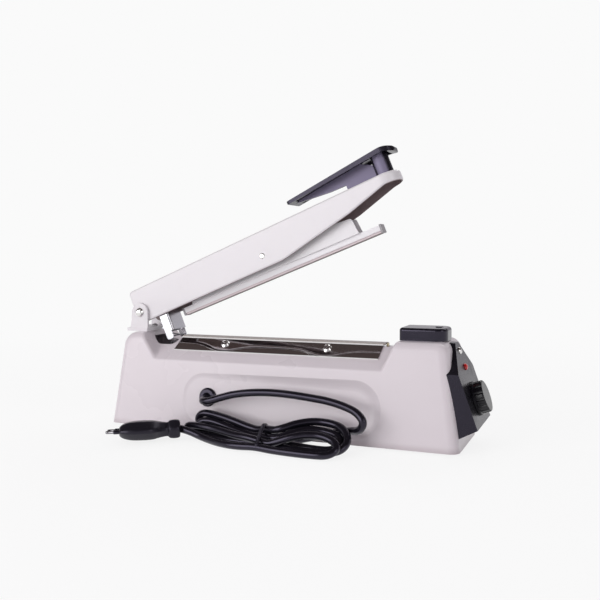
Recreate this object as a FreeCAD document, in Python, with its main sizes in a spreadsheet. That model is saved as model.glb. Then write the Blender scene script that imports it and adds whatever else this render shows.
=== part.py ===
import FreeCAD, Part
import math
import os
import Sketcher

Vec = FreeCAD.Vector
doc = FreeCAD.newDocument("bag_sealer")

# Hand bag sealer of the 200 mm class. Millimetres and degrees.
# X runs along the machine from the hinge to the dial, Y across it, Z up.
# Places along X are counted from the middle of the housing, heights from its rim.
# Places on the arm are counted from the hinge bolt, along the arm and square to it.
SIZES = {
    # Where the housing stands: the origin is under the middle of the whole sealer.
    "housing_middle": -9.75, "foot_drop": 1.5,
    # Housing
    "base_length": 324, "base_width": 80, "wall": 2.4,
    "side_lean": 7.1, "rear_lean": 6.6, "front_lean": 7.7,
    "hump_height": 84, "side_radius": 8, "rear_crest_radius": 14, "front_crest_radius": 10,
    "eaves_height": 60.5, "ridge_height": 77, "ridge_width": 10.8, "ridge_root": 6,
    "hump_rim_radius": 3, "valley_radius": 4, "eaves_radius": 3,
    "rear_hump_end": -132.6, "valley_rear": -116, "valley_front": 97.5, "front_hump_start": 108.5,
    "panel_window_width": 40, "panel_window_low": 16, "panel_window_high": 70,
    "slot_rear": -131.6, "slot_front": -106.4, "slot_width": 27, "slot_radius": 6,
    "oval_length": 176, "oval_middle": 4, "oval_rear_half": 21.5, "oval_front_half": 17.6, "oval_height": 28,
    "oval_depth": 1.65, "oval_turn": 0.84, "oval_flare": 2.3, "oval_floor_radius": 14,
    # Floor of the housing
    "floor_gap": 0.3, "floor_thick": 1.2, "floor_inset": 0.8,
    "post_width": 9, "post_height": 12, "post_reach_x": 140, "post_reach_y": 31,
    "foot_reach_x": 122, "foot_reach_y": 26, "foot_diameter": 13,
    "vent_count": 5, "vent_length": 30, "vent_width": 3, "vent_pitch": 8,
    # Hinge
    "hinge_place": -141.7, "hinge_height": 101.5, "ear_thick": 2.2, "ear_radius": 8.6,
    "bracket_rear": -155.3, "bracket_front": -132.8, "bracket_plate": 2.8, "bracket_width": 38.6,
    "ear_rear": -152.6, "ear_gap": 0.7, "hinge_bolt_diameter": 5, "bolt_clearance": 0.06,
    # Arm
    "arm_open": 21.95, "arm_width": 31, "arm_sheet": 1.2, "arm_top": 22.2, "arm_rear": 7,
    "arm_low": 10.5, "arm_length": 274, "arm_fold": 2.2,
    "taper_start": 155, "taper_middle": 225, "taper_middle_height": 2.5, "taper_end": 262, "nose_low": 12.4,
    # Handle
    "grip_tip": 174.5, "grip_end": 278.6, "grip_width": 25, "grip_tip_height": 35.6, "grip_crest": 270,
    "grip_crest_height": 43.6, "grip_end_height": 40.6, "grip_depth": 4.2, "grip_wall": 2,
    "boss_place": 262.3, "boss_diameter": 15, "web_thick": 3, "web_middle": 211.9, "web_middle_height": 29.1,
    "web_step": 227.4, "web_step_height": 28.5,
    # Pressure bar, counted from its pivot pin
    "pin_along": 137.4, "pin_up": 0.8, "bar_open": 21.08, "bar_rear": -100, "bar_front": 106.6,
    "bar_width": 10, "bar_screw_reach": 62, "bar_top": 13.8, "silicone_top": 18.5, "silicone_bottom": 20.7,
    "silicone_width": 8, "cap_thick": 1.6, "carrier_reach": 87, "carrier_width": 14,
    "carrier_sheet": 1.2, "carrier_wall_top": 6.5, "pin_diameter": 4, "pin_clearance": 0.06,
    # Return spring and its bracket on the arm
    "spring_place": 24.5, "bracket_face": 24, "bracket_deep": 9.5, "bracket_hang": 26.5, "bracket_sheet": 1,
    "flange_drop": 7.5,
    "spring_diameter": 10, "spring_wire": 1.4, "spring_turns": 8, "seat_height": 38, "spring_middle": -114.5,
    # Sealing rail
    "rail_rear": -103.8, "rail_front": 94.6, "rail_width": 8.2, "rail_rise": 2.5, "rail_sunk": 4,
    "film": 0.15, "element_width": 2.2, "element_thick": 0.15,
    "plate_rear": -103.2, "plate_front": 92.4, "plate_sheet": 0.8, "plate_low_half": 20.4,
    "plate_screw_rear": -54.5, "plate_screw_front": 44.3, "plate_screw_half": 11.4,
    "terminal_width": 4, "terminal_sheet": 0.8,
    # Switch block
    "block_rear": 108, "block_front": 147, "block_width": 30, "block_tall": 10.4, "block_radius": 2.5,
    "block_rear_corner": 4, "block_front_corner": 9, "plunger_place": 138.4,
    "stem_diameter": 3.6, "flange_diameter": 9.6, "plunger_diameter": 6.6, "plunger_rise": 0.4,
    "plunger_travel": 2, "block_hollow": 6.4,
    "switch_length": 20, "switch_width": 6.4, "switch_tall": 10, "switch_sheet": 1.2,
    # Control panel
    "panel_top_height": 82.3, "panel_top_front": 152.5, "panel_low_height": 18, "panel_low_front": 175.1,
    "panel_foot_height": 8, "panel_half": 31, "panel_wrap": 5, "panel_top_half": 4.5, "panel_shoulder": 60.5,
    "panel_wall": 2, "knob_along": 47.7, "lamp_along": 20.8, "screw_along": 7, "lamp_room": 14,
    "knob_diameter": 26, "knob_skirt": 28, "knob_deep": 9.4, "knob_flutes": 16, "shaft_diameter": 6,
    "lamp_diameter": 5.6,
    "board_half": 18, "board_up": 17, "board_down": 13, "board_thick": 1.6, "pot_diameter": 16,
    "pot_deep": 8.4, "relay_tall": 12,
    # Transformer
    "core_length": 62, "core_deep": 32, "core_tall": 46, "core_place": 40, "limb": 20, "yoke": 9,
    "coil_over": 9, "coil_gap": 0.4,
    # Screws, and the holes that they pass through or bite in
    "screw": 3, "screw_head": 6, "pass_gap": 0.3, "bite_gap": 0.05, "low_screw_length": 9, "block_screw_length": 9,
    "panel_screw_length": 6, "clamp_screw_length": 7,
    # Mains cord
    "cord_diameter": 6, "gland_place": -59.4, "gland_height": 29.6, "gland_diameter": 16.5,
    "gland_thick": 2.6, "gland_sink": 0.5, "hank_height": 13, "tie_place": 6.5, "tie_near": -82,
    "tie_far": -48, "tie_width": 5, "tie_thick": 1,
    "plug_width": 35, "plug_thick": 15, "plug_length": 43, "plug_collar": 17, "pin_length": 19,
    "plug_pin_diameter": 4.8, "plug_pin_pitch": 19,
}

sheet = doc.addObject("Spreadsheet::Sheet", "dims")
for row, (alias, number) in enumerate(SIZES.items(), start=1):
    sheet.set(f"A{row}", alias)
    sheet.set(f"B{row}", str(number))
    sheet.setAlias(f"B{row}", alias)
doc.recompute()


class Size:
    """A length, angle or count with the expression that works it out from the sheet."""

    def __init__(self, value, text):
        self.value = float(value)
        self.text = text

    def join(self, other, sign, value):
        return Size(value, f"({self.text} {sign} {as_size(other).text})")

    def __add__(self, other):
        return self.join(other, "+", self.value + as_size(other).value)

    def __sub__(self, other):
        return self.join(other, "-", self.value - as_size(other).value)

    def __mul__(self, other):
        return self.join(other, "*", self.value * as_size(other).value)

    def __truediv__(self, other):
        return self.join(other, "/", self.value / as_size(other).value)

    def __radd__(self, other):
        return as_size(other) + self

    def __rsub__(self, other):
        return as_size(other) - self

    def __rmul__(self, other):
        return as_size(other) * self

    def __neg__(self):
        return Size(-self.value, f"(0 - {self.text})")

    def __float__(self):
        return self.value


def as_size(thing):
    return thing if isinstance(thing, Size) else Size(thing, repr(float(thing)))


def tangent(angle):
    return Size(math.tan(math.radians(angle.value)), f"tan({angle.text} * 1 deg)")


class Sheet:
    def __getattr__(self, alias):
        return Size(sheet.get(alias), f"dims.{alias}")


D = Sheet()


def bind(thing, name, size):
    size = as_size(size)
    setattr(thing, name, size.value)
    thing.setExpression(name, size.text)


# Sketches and features

def new_body(name):
    body = doc.addObject("PartDesign::Body", name)
    body.Label = name
    return body


def new_sketch(body, plane, offset=None):
    sketch = body.newObject("Sketcher::SketchObject", f"{body.Name}_sketch")
    support = [part for part in body.Origin.OriginFeatures if part.Role == plane][0]
    sketch.AttachmentSupport = [(support, "")]
    sketch.MapMode = "FlatFace"
    if offset is not None:
        offset = as_size(offset)
        sketch.AttachmentOffset = FreeCAD.Placement(Vec(0, 0, offset.value), FreeCAD.Rotation())
        sketch.setExpression("AttachmentOffset.Base.z", offset.text)
    return sketch


def drive(sketch, kind, where, size):
    size = as_size(size)
    index = sketch.addConstraint(Sketcher.Constraint(kind, *where, size.value))
    sketch.setExpression(f"Constraints[{index}]", size.text)


def pin_point(sketch, geometry, end, across, up):
    drive(sketch, "DistanceX", (-1, 1, geometry, end), across)
    drive(sketch, "DistanceY", (-1, 1, geometry, end), up)


def outline(sketch, corners):
    """A closed outline of straight sides, with an arc at each corner that gives a radius."""
    spots = [Vec(float(corner[0]), float(corner[1]), 0) for corner in corners]
    count = len(corners)
    starts = []
    ends = []
    arcs = {}
    for index, corner in enumerate(corners):
        here = spots[index]
        if len(corner) < 3:
            starts.append(here)
            ends.append(here)
            continue
        back = (spots[index - 1] - here).normalize()
        ahead = (spots[(index + 1) % count] - here).normalize()
        half = back.getAngle(ahead) / 2
        radius = float(corner[2])
        ends.append(here + back * (radius / math.tan(half)))
        starts.append(here + ahead * (radius / math.tan(half)))
        middle = here + (back + ahead).normalize() * (radius / math.sin(half) - radius)
        arcs[index] = Part.Arc(ends[index], middle, starts[index])
    lines = []
    for index in range(count):
        side = Part.LineSegment(starts[index], ends[(index + 1) % count])
        lines.append(sketch.addGeometry(side))
    for index, corner in enumerate(corners):
        before = lines[index - 1]
        after = lines[index]
        if index not in arcs:
            sketch.addConstraint(Sketcher.Constraint("Coincident", before, 2, after, 1))
            pin_point(sketch, after, 1, corner[0], corner[1])
            continue
        arc = sketch.addGeometry(arcs[index])
        turning = (spots[index] - spots[index - 1]).cross(spots[(index + 1) % count] - spots[index]).z
        first = 1 if turning > 0 else 2
        sketch.addConstraint(Sketcher.Constraint("Tangent", before, 2, arc, first))
        sketch.addConstraint(Sketcher.Constraint("Tangent", after, 1, arc, 3 - first))
        drive(sketch, "Radius", (arc,), corner[2])
        apex = sketch.addGeometry(Part.Point(spots[index]), True)
        sketch.addConstraint(Sketcher.Constraint("PointOnObject", apex, 1, before))
        sketch.addConstraint(Sketcher.Constraint("PointOnObject", apex, 1, after))
        pin_point(sketch, apex, 1, corner[0], corner[1])


def ring(sketch, across, up, radius):
    circle = Part.Circle(Vec(float(across), float(up), 0), Vec(0, 0, 1), float(radius))
    index = sketch.addGeometry(circle)
    pin_point(sketch, index, 3, across, up)
    drive(sketch, "Radius", (index,), radius)


def box_corners(left, low, right, high, radius=None):
    corners = [(left, low), (right, low), (right, high), (left, high)]
    if radius is None:
        return corners
    return [corner + (radius,) for corner in corners]


def extrude(body, kind, sketch, length, back=None, reverse=False):
    """A pad or pocket: even about its plane, or length forward and back backward."""
    feature = body.newObject(f"PartDesign::{kind}", f"{body.Name}_{kind.lower()}")
    feature.Profile = sketch
    if back is None:
        feature.SideType = "Symmetric"
    elif float(back) == 0:
        feature.SideType = "One side"
        feature.Reversed = reverse
    else:
        feature.SideType = "Two sides"
        bind(feature, "Length2", back)
    bind(feature, "Length", length)
    sketch.Visibility = False
    return feature


def pad(body, plane, corners, length, back=None, reverse=False, offset=None):
    sketch = new_sketch(body, plane, offset)
    outline(sketch, corners)
    return extrude(body, "Pad", sketch, length, back, reverse)


def pocket(body, plane, corners, length, back=None, reverse=False, offset=None):
    sketch = new_sketch(body, plane, offset)
    outline(sketch, corners)
    return extrude(body, "Pocket", sketch, length, back, reverse)


def pocket_rings(body, plane, rings, length, back=None, reverse=False, offset=None):
    sketch = new_sketch(body, plane, offset)
    for across, up, radius in rings:
        ring(sketch, across, up, radius)
    return extrude(body, "Pocket", sketch, length, back, reverse)


def turn(body, plane, corners, axis):
    """A turned piece: the outline goes round the sketch's own horizontal or vertical axis."""
    sketch = new_sketch(body, plane)
    outline(sketch, corners)
    feature = body.newObject("PartDesign::Revolution", f"{body.Name}_turned")
    feature.Profile = sketch
    feature.ReferenceAxis = (sketch, [axis])
    feature.Angle = 360
    sketch.Visibility = False
    return feature


def round_edges(body, radius, wanted):
    """Rounds the edges of the body that the test picks."""
    doc.recompute()
    base = body.Tip
    names = [f"Edge{number}" for number, edge in enumerate(base.Shape.Edges, start=1) if wanted(edge)]
    fillet = body.newObject("PartDesign::Fillet", f"{body.Name}_rounded")
    fillet.Base = (base, names)
    bind(fillet, "Radius", radius)
    return fillet


def middle_of(edge):
    return edge.valueAt((edge.FirstParameter + edge.LastParameter) / 2)


def runs_along(edge, direction):
    if not isinstance(edge.Curve, Part.Line):
        return False
    return abs(edge.tangentAt(edge.FirstParameter).dot(direction)) > 0.98


# The three frames of the sealer: housing, arm and pressure bar

def hinge_spot():
    return Vec(D.housing_middle.value + D.hinge_place.value, 0, D.foot_drop.value + D.hinge_height.value)


def frame_of(name):
    along = Vec(0, 1, 0)
    if name == "housing":
        return FreeCAD.Placement(Vec(D.housing_middle.value, 0, D.foot_drop.value), FreeCAD.Rotation())
    arm = FreeCAD.Placement(hinge_spot(), FreeCAD.Rotation(along, -D.arm_open.value))
    if name == "arm":
        return arm
    pin = arm.multVec(Vec(D.pin_along.value, 0, D.pin_up.value))
    return FreeCAD.Placement(pin, FreeCAD.Rotation(along, -D.bar_open.value))


pieces = []


def keep(piece, frame="housing", label=None):
    """Sets a finished piece in its frame and lists it for export."""
    if label is not None:
        piece.Label = label
    piece.Placement = frame_of(frame)
    pieces.append(piece)
    return piece


def group(label, shape, places, frame="housing"):
    """Like pieces that share one file: copies of a shape at the given places."""
    piece = doc.addObject("Part::Feature", label)
    copies = []
    for place in places:
        copy = shape.copy()
        copy.Placement = place.multiply(copy.Placement)
        copies.append(copy)
    piece.Shape = Part.makeCompound(copies)
    return keep(piece, frame)


def at(x, y, z, axis=None, angle=0):
    rotation = FreeCAD.Rotation() if axis is None else FreeCAD.Rotation(axis, float(angle))
    return FreeCAD.Placement(Vec(float(x), float(y), float(z)), rotation)


def turned_shape(points):
    """A solid turned about Z from a list of radius and height."""
    wire = Part.makePolygon([Vec(float(r), 0, float(z)) for r, z in points + points[:1]])
    return Part.Face(wire).revolve(Vec(0, 0, 0), Vec(0, 0, 1), 360)


def screw_shape(head, head_tall, shank, length):
    """A domed screw with its seat at zero and its shank downward."""
    dome = [(0, head_tall), (head * 0.22, head_tall * 0.96), (head * 0.38, head_tall * 0.72),
            (head * 0.5, head_tall * 0.2), (head * 0.5, 0)]
    return turned_shape(dome + [(shank / 2, 0), (shank / 2, -length), (0, -length)])


# Places of the fasteners, each with its seat at zero and its shank downward

def rail_height():
    return D.ridge_height + D.rail_rise


def roof_line(half):
    """Height of the ridge's flank at a distance from the middle."""
    half_eaves = D.base_width / 2 - D.eaves_height * tangent(D.side_lean)
    slope = (D.ridge_height - D.eaves_height) / (half_eaves - D.ridge_width / 2)
    return D.ridge_height - (half - D.ridge_width / 2) * slope


def roof_angle():
    half_eaves = D.base_width.value / 2 - D.eaves_height.value * math.tan(math.radians(D.side_lean.value))
    return math.degrees(math.atan2(D.ridge_height.value - D.eaves_height.value, half_eaves - D.ridge_width.value / 2))


def plate_screw_places():
    height = roof_line(D.plate_screw_half) + D.plate_sheet * 1.17
    return [at(x, D.plate_screw_half * side, height, Vec(1, 0, 0), -roof_angle() * side)
            for x in (D.plate_screw_rear, D.plate_screw_front) for side in (-1, 1)]


def bracket_screw_places():
    middle = (D.bracket_rear + D.bracket_front) / 2
    return [at(middle, 10 * side, D.hump_height + D.bracket_plate) for side in (-1, 1)]


def block_screw_places():
    """Both go up into the block; the second one also holds the micro switch's bracket."""
    ceiling = D.hump_height - D.wall
    return [at(D.block_rear + 7, 0, ceiling, Vec(1, 0, 0), 180),
            at(D.plunger_place, 9.5, ceiling - D.switch_sheet, Vec(1, 0, 0), 180)]


def base_screw_places():
    return corner_places(D.post_reach_x, D.post_reach_y, D.floor_inset, True)


def corner_places(reach_x, reach_y, z, flip=False):
    turn_over = 180 if flip else 0
    return [at(reach_x * sx, reach_y * sy, z, Vec(1, 0, 0), turn_over) for sx in (-1, 1) for sy in (-1, 1)]


def panel_frame():
    """The panel's sloping face: X down the slope, Z outward, origin at the top edge."""
    run = D.panel_low_front.value - D.panel_top_front.value
    fall = D.panel_top_height.value - D.panel_low_height.value
    return at(D.panel_top_front, 0, D.panel_top_height, Vec(0, 1, 0), 90 - math.degrees(math.atan2(run, fall)))


def panel_screw_places():
    return [panel_frame().multiply(at(D.screw_along, 0, 0))]


def gland_places():
    side = D.base_width / 2 - D.gland_height * tangent(D.side_lean) - D.gland_sink
    return [at(D.gland_place, -side, D.gland_height, Vec(1, 0, 0), 90 - D.side_lean.value)]


def bores(places, radius, depth):
    """Round cutters along the shanks of the given places, a little past their seats."""
    cutters = []
    for place in places:
        cutter = doc.addObject("Part::Cylinder", "bore")
        bind(cutter, "Radius", radius)
        bind(cutter, "Height", as_size(depth) + 4)
        cutter.Placement = place.multiply(at(0, 0, -float(depth)))
        cutters.append(cutter)
    return cutters


def drilled(piece, label, places, radius, depth):
    """The piece with round holes along the shanks of the given places."""
    tools = bores(places, radius, depth)
    if len(tools) > 1:
        tool = doc.addObject("Part::MultiFuse", f"{label}_bores")
        tool.Shapes = tools
    else:
        tool = tools[0]
    cut = doc.addObject("Part::Cut", label)
    cut.Base = piece
    cut.Tool = tool
    return cut


def pass_radius():
    return D.screw / 2 + D.pass_gap


def bite_radius():
    return D.screw / 2 + D.bite_gap


# Housing

def on_slope(spot):
    """Whether a point lies on the slope of either hump."""
    rise = (spot.z - D.eaves_height.value) / (D.hump_height.value - D.eaves_height.value)
    front = D.valley_front.value + rise * (D.front_hump_start.value - D.valley_front.value)
    rear = D.valley_rear.value + rise * (D.rear_hump_end.value - D.valley_rear.value)
    return min(abs(spot.x - front), abs(spot.x - rear)) < 0.05


def housing_form(name, inset, sink, under_rail):
    """The housing's outer form, or its hollow when an inset is given."""
    body = new_body(name)
    outer = float(inset) == 0
    crest = D.hump_height - inset
    low = as_size(0) - sink
    rear = inset - D.base_length / 2
    front = D.base_length / 2 - inset
    pad(body, "XZ_Plane", [(rear + low * tangent(D.rear_lean), low), (front - low * tangent(D.front_lean), low),
                           (front - crest * tangent(D.front_lean), crest, D.front_crest_radius - inset),
                           (rear + crest * tangent(D.rear_lean), crest, D.rear_crest_radius - inset)],
        D.base_width * 1.2)
    half_base = D.base_width / 2 - inset
    above = D.hump_height + 10
    below = low - 2
    for side in (-1, 1):
        wall_low = half_base - below * tangent(D.side_lean)
        wall_high = half_base - above * tangent(D.side_lean)
        pocket(body, "YZ_Plane", [(wall_low * side, below), (D.base_width * side, below),
                                  (D.base_width * side, above), (wall_high * side, above)], D.base_length * 1.1)
    across = Vec(0, 1, 0)
    round_edges(body, D.side_radius - inset, lambda edge: edge.BoundBox.ZMax > 5 and not runs_along(edge, across))
    root = D.eaves_height - inset - D.ridge_root
    steep_front = (D.front_hump_start - D.valley_front) / (D.hump_height - D.eaves_height)
    steep_rear = (D.valley_rear - D.rear_hump_end) / (D.hump_height - D.eaves_height)
    drop = D.ridge_root + inset
    pocket(body, "XZ_Plane", [(D.valley_rear - inset + drop * steep_rear, root),
                              (D.valley_front + inset - drop * steep_front, root),
                              (D.front_hump_start + inset, D.hump_height), (D.front_hump_start + inset, above),
                              (D.rear_hump_end - inset, above), (D.rear_hump_end - inset, D.hump_height)],
           D.base_width * 2)
    if outer:
        floor = root.value

        def slope_rim(edge):
            ends = [vertex.Point for vertex in edge.Vertexes]
            return middle_of(edge).z > floor + 1 and all(on_slope(spot) for spot in ends + [middle_of(edge)])

        round_edges(body, D.hump_rim_radius, slope_rim)
    half_eaves = half_base - D.eaves_height * tangent(D.side_lean)
    half_root = half_eaves + (drop + 2) * tangent(D.side_lean)
    half_ridge = D.ridge_width / 2 - inset / 2
    floor = D.eaves_height - inset
    ridge = D.ridge_height - inset - under_rail
    eaves = (D.eaves_radius,) if outer else ()
    pad(body, "YZ_Plane", [(-half_root, floor - drop - 2), (half_root, floor - drop - 2), (half_eaves, floor) + eaves,
                           (half_ridge, ridge), (-half_ridge, ridge), (-half_eaves, floor) + eaves],
        D.front_hump_start - 2, 2 - D.rear_hump_end - 4)
    if outer:
        eaves_height = D.eaves_height.value
        ridge_height = D.ridge_height.value

        def valley_edge(edge):
            spot = middle_of(edge)
            return (isinstance(edge.Curve, Part.Line) and on_slope(spot) and 8 < abs(spot.y) < 25
                    and eaves_height + 1 < spot.z < ridge_height - 1)

        round_edges(body, D.valley_radius, valley_edge)
    return body


def housing_shell():
    outer = housing_form("housing_outer", as_size(0), as_size(0), as_size(0))
    hollow = housing_form("housing_hollow", D.wall, as_size(1), D.rail_sunk)
    dented = doc.addObject("Part::Cut", "housing_hollow_dented")
    dented.Base = hollow
    dented.Tool = oval_form("oval_inside", D.wall)
    shell = doc.addObject("Part::Cut", "housing_hollowed")
    shell.Base = outer
    shell.Tool = dented
    posts = new_body("housing_posts")
    high = D.floor_inset + D.floor_thick + D.post_height
    low = D.floor_inset + D.floor_thick
    for side_x in (-1, 1):
        for side_y in (-1, 1):
            middle_x = D.post_reach_x * side_x
            inner = (D.post_reach_y - D.post_width / 2) * side_y
            outer_edge = (D.base_width / 2 - D.wall - high * tangent(D.side_lean) + 0.8) * side_y
            pad(posts, "XY_Plane", box_corners(middle_x - D.post_width / 2, inner,
                                               middle_x + D.post_width / 2, outer_edge),
                high - low, as_size(0), offset=low)
    return outer, shell, posts


def housing_cutters():
    """The slot behind the rail, the rail's groove and the window behind the panel."""
    slot = new_body("slot_cutter")
    pad(slot, "XY_Plane", box_corners(D.slot_rear, -D.slot_width / 2, D.slot_front, D.slot_width / 2, D.slot_radius),
        as_size(40), as_size(0), offset=D.eaves_height - D.ridge_root - 4)
    rail = new_body("rail_cutter")
    room = D.terminal_sheet + D.floor_gap
    pad(rail, "XY_Plane", box_corners(D.rail_rear - room, -D.rail_width / 2 - D.film,
                                      D.rail_front + room, D.rail_width / 2 + D.film),
        as_size(20), as_size(0), offset=D.ridge_height - D.rail_sunk)
    window = new_body("window_cutter")
    pad(window, "YZ_Plane", box_corners(-D.panel_window_width / 2, D.panel_window_low,
                                        D.panel_window_width / 2, D.panel_window_high, as_size(4)),
        as_size(40), as_size(0), offset=D.base_length / 2 - 24)
    return [slot, rail, window]


def oval_form(name, behind):
    """The long shallow dent in the near side. It is deepest in front and runs out to the rear."""
    rise = as_size(6)
    wires = []
    for level in (as_size(0), rise):
        grow = level * D.oval_flare
        reach = D.oval_length / 2 + grow
        rear = D.oval_rear_half + grow
        front = D.oval_front_half + grow
        wires.append(rounded_wire([(-reach, -rear, rear * 0.9), (reach, -front, front * 0.97),
                                   (reach, front, front * 0.97), (-reach, rear, rear * 0.9)], level))
    form = Part.makeLoft(wires, True, True)
    form = form.makeFillet(D.oval_floor_radius.value, [edge for edge in form.Edges if edge.BoundBox.ZMax < 0.01])
    dent = doc.addObject("Part::Feature", name)
    dent.Shape = form
    half = D.base_width.value / 2 - D.oval_height.value * math.tan(math.radians(D.side_lean.value))
    place = at(D.oval_middle, -(half - D.oval_depth.value), D.oval_height, Vec(1, 0, 0), 90 - D.side_lean.value)
    dent.Placement = place.multiply(at(0, 0, -float(behind), Vec(0, 1, 0), D.oval_turn))
    return dent


def rounded_wire(corners, level):
    """A closed wire of straight sides and corner arcs, level at the given height."""
    spots = [Vec(float(corner[0]), float(corner[1]), float(level)) for corner in corners]
    count = len(spots)
    starts = []
    ends = []
    arcs = []
    for index, corner in enumerate(corners):
        here = spots[index]
        back = (spots[index - 1] - here).normalize()
        ahead = (spots[(index + 1) % count] - here).normalize()
        half = back.getAngle(ahead) / 2
        radius = float(corner[2])
        ends.append(here + back * (radius / math.tan(half)))
        starts.append(here + ahead * (radius / math.tan(half)))
        middle = here + (back + ahead).normalize() * (radius / math.sin(half) - radius)
        arcs.append(Part.Arc(ends[index], middle, starts[index]).toShape())
    edges = []
    for index in range(count):
        edges.append(arcs[index])
        edges.append(Part.makeLine(starts[index], ends[(index + 1) % count]))
    return Part.Wire(edges)


def make_housing():
    outer, shell, posts = housing_shell()
    joined = doc.addObject("Part::MultiFuse", "housing_with_posts")
    joined.Shapes = [shell, posts]
    bites = bores(plate_screw_places() + bracket_screw_places() + block_screw_places() + panel_screw_places()
                  + base_screw_places(), D.screw / 2 + D.bite_gap, 12)
    gland = bores(gland_places(), D.gland_diameter * 0.31, 12)
    stem = bores([at(D.plunger_place, 0, D.hump_height + 1)], D.stem_diameter / 2 + D.pass_gap, 8)
    terminals = bores([at(D.rail_rear, 0, D.ridge_height), at(D.rail_front, 0, D.ridge_height)],
                      D.terminal_width / 2 + D.pass_gap, 20)
    tools = doc.addObject("Part::MultiFuse", "housing_openings")
    tools.Shapes = housing_cutters() + [oval_form("oval_outside", 0)] + bites + gland + stem + terminals
    housing = doc.addObject("Part::Cut", "housing_shell")
    housing.Base = joined
    housing.Tool = tools
    keep(housing)
    return outer


housing_outer = make_housing()


# Floor plate, its screws and the feet

def floor_plate():
    body = new_body("base_plate_blank")
    margin = D.wall + D.floor_gap
    half_length = D.base_length / 2 - margin
    half_width = D.base_width / 2 - margin - D.floor_thick * 0.2
    sketch = new_sketch(body, "XY_Plane", D.floor_inset)
    outline(sketch, box_corners(-half_length, -half_width, half_length, half_width, D.side_radius - D.wall + 0.8))
    for side_x in (-1, 1):
        for side_y in (-1, 1):
            ring(sketch, D.foot_reach_x * side_x, D.foot_reach_y * side_y, D.foot_diameter / 4)
    extrude(body, "Pad", sketch, D.floor_thick, as_size(0))
    for index in range(int(D.vent_count.value)):
        middle = D.core_place + D.vent_pitch * (index - (D.vent_count.value - 1) / 2)
        pocket(body, "XY_Plane", box_corners(middle - D.vent_width / 2, -D.vent_length / 2,
                                             middle + D.vent_width / 2, D.vent_length / 2,
                                             D.vent_width * 0.45), as_size(20))
    plate = drilled(body, "base_plate", base_screw_places() + core_screw_places(), pass_radius(), 4)
    keep(plate)


def core_screw_places():
    """Two screws go up through the floor plate into the transformer's core."""
    reach = D.core_length / 2 - D.yoke / 2
    return [at(D.core_place + reach * side, 0, D.floor_inset, Vec(1, 0, 0), 180) for side in (-1, 1)]


def low_screws():
    shape = screw_shape(D.screw_head.value, 1.3, D.screw.value, D.low_screw_length.value)
    group("base_screws", shape, base_screw_places())
    group("transformer_screws", shape, core_screw_places())


def feet():
    """Push-in rubber feet: a button below the floor plate and a neck through it."""
    wide = D.foot_diameter.value / 2
    neck = D.foot_diameter.value / 4 - 0.15
    under = D.floor_inset.value
    top = under + D.floor_thick.value
    drop = -D.foot_drop.value
    shape = turned_shape([(0, drop), (wide - 1, drop), (wide, drop + 0.8), (wide, under), (neck, under),
                          (neck, top + 0.2), (neck + 1, top + 0.2), (neck, top + 2), (0, top + 2)])
    group("rubber_feet", shape, corner_places(D.foot_reach_x, D.foot_reach_y, 0))


floor_plate()
low_screws()
feet()


# Hinge bracket, bolt and nut

def hinge_bracket():
    body = new_body("hinge_bracket_blank")
    foot = D.hump_height
    half = D.bracket_width / 2
    pad(body, "XZ_Plane", box_corners(D.bracket_rear, foot, D.bracket_front, foot + D.bracket_plate), D.bracket_width)
    inner = D.arm_width / 2 + D.ear_gap
    radius = D.ear_radius
    low = foot + D.bracket_plate / 2
    front = D.hinge_place + radius
    for side in (-1, 1):
        sketch = new_sketch(body, "XZ_Plane", (inner + D.ear_thick / 2) * side)
        outline(sketch, [(D.ear_rear, low), (front, low), (front, D.hinge_height + radius, radius * 0.999),
                         (D.hinge_place - radius, D.hinge_height + radius, radius * 0.999),
                         (D.hinge_place - radius, D.hinge_height - 2)])
        extrude(body, "Pad", sketch, D.ear_thick)
    pocket_rings(body, "XZ_Plane", [(D.hinge_place, D.hinge_height, D.hinge_bolt_diameter / 2 + D.bolt_clearance)],
                 half * 4)
    keep(drilled(body, "hinge_bracket", bracket_screw_places(), pass_radius(), 4))
    group("hinge_bracket_screws", screw_shape(D.screw_head.value, 1.7, D.screw.value, 9), bracket_screw_places())


def hinge_bolt():
    """A domed bolt through both ears, with its nut outside the far ear."""
    reach = D.arm_width.value / 2 + D.ear_gap.value + D.ear_thick.value
    shank = D.hinge_bolt_diameter.value
    head = 8.6
    bolt = screw_shape(head, 2.6, shank, reach * 2 + 6.5)
    place = at(D.hinge_place, -reach - 0.02, D.hinge_height, Vec(1, 0, 0), 90)
    group("hinge_bolt", bolt, [place])
    flat = 4.6
    hexagon = [Vec(flat * math.cos(math.radians(60 * k)), flat * math.sin(math.radians(60 * k)), 0)
               for k in range(7)]
    nut = Part.Face(Part.makePolygon(hexagon)).extrude(Vec(0, 0, 4))
    nut = nut.cut(Part.makeCylinder(shank / 2 + 0.02, 6, Vec(0, 0, -1)))
    group("hinge_nut", nut, [at(D.hinge_place, reach + 0.02, D.hinge_height, Vec(1, 0, 0), -90)])


hinge_bracket()
hinge_bolt()


# Arm

def handle_screw_places():
    """Two screws go up through the arm's top sheet into the handle's boss."""
    seat = D.arm_top - D.arm_sheet
    return [at(along, 0, seat, Vec(1, 0, 0), 180) for along in (D.boss_place - 3.5, D.boss_place + 3.5)]


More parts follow.
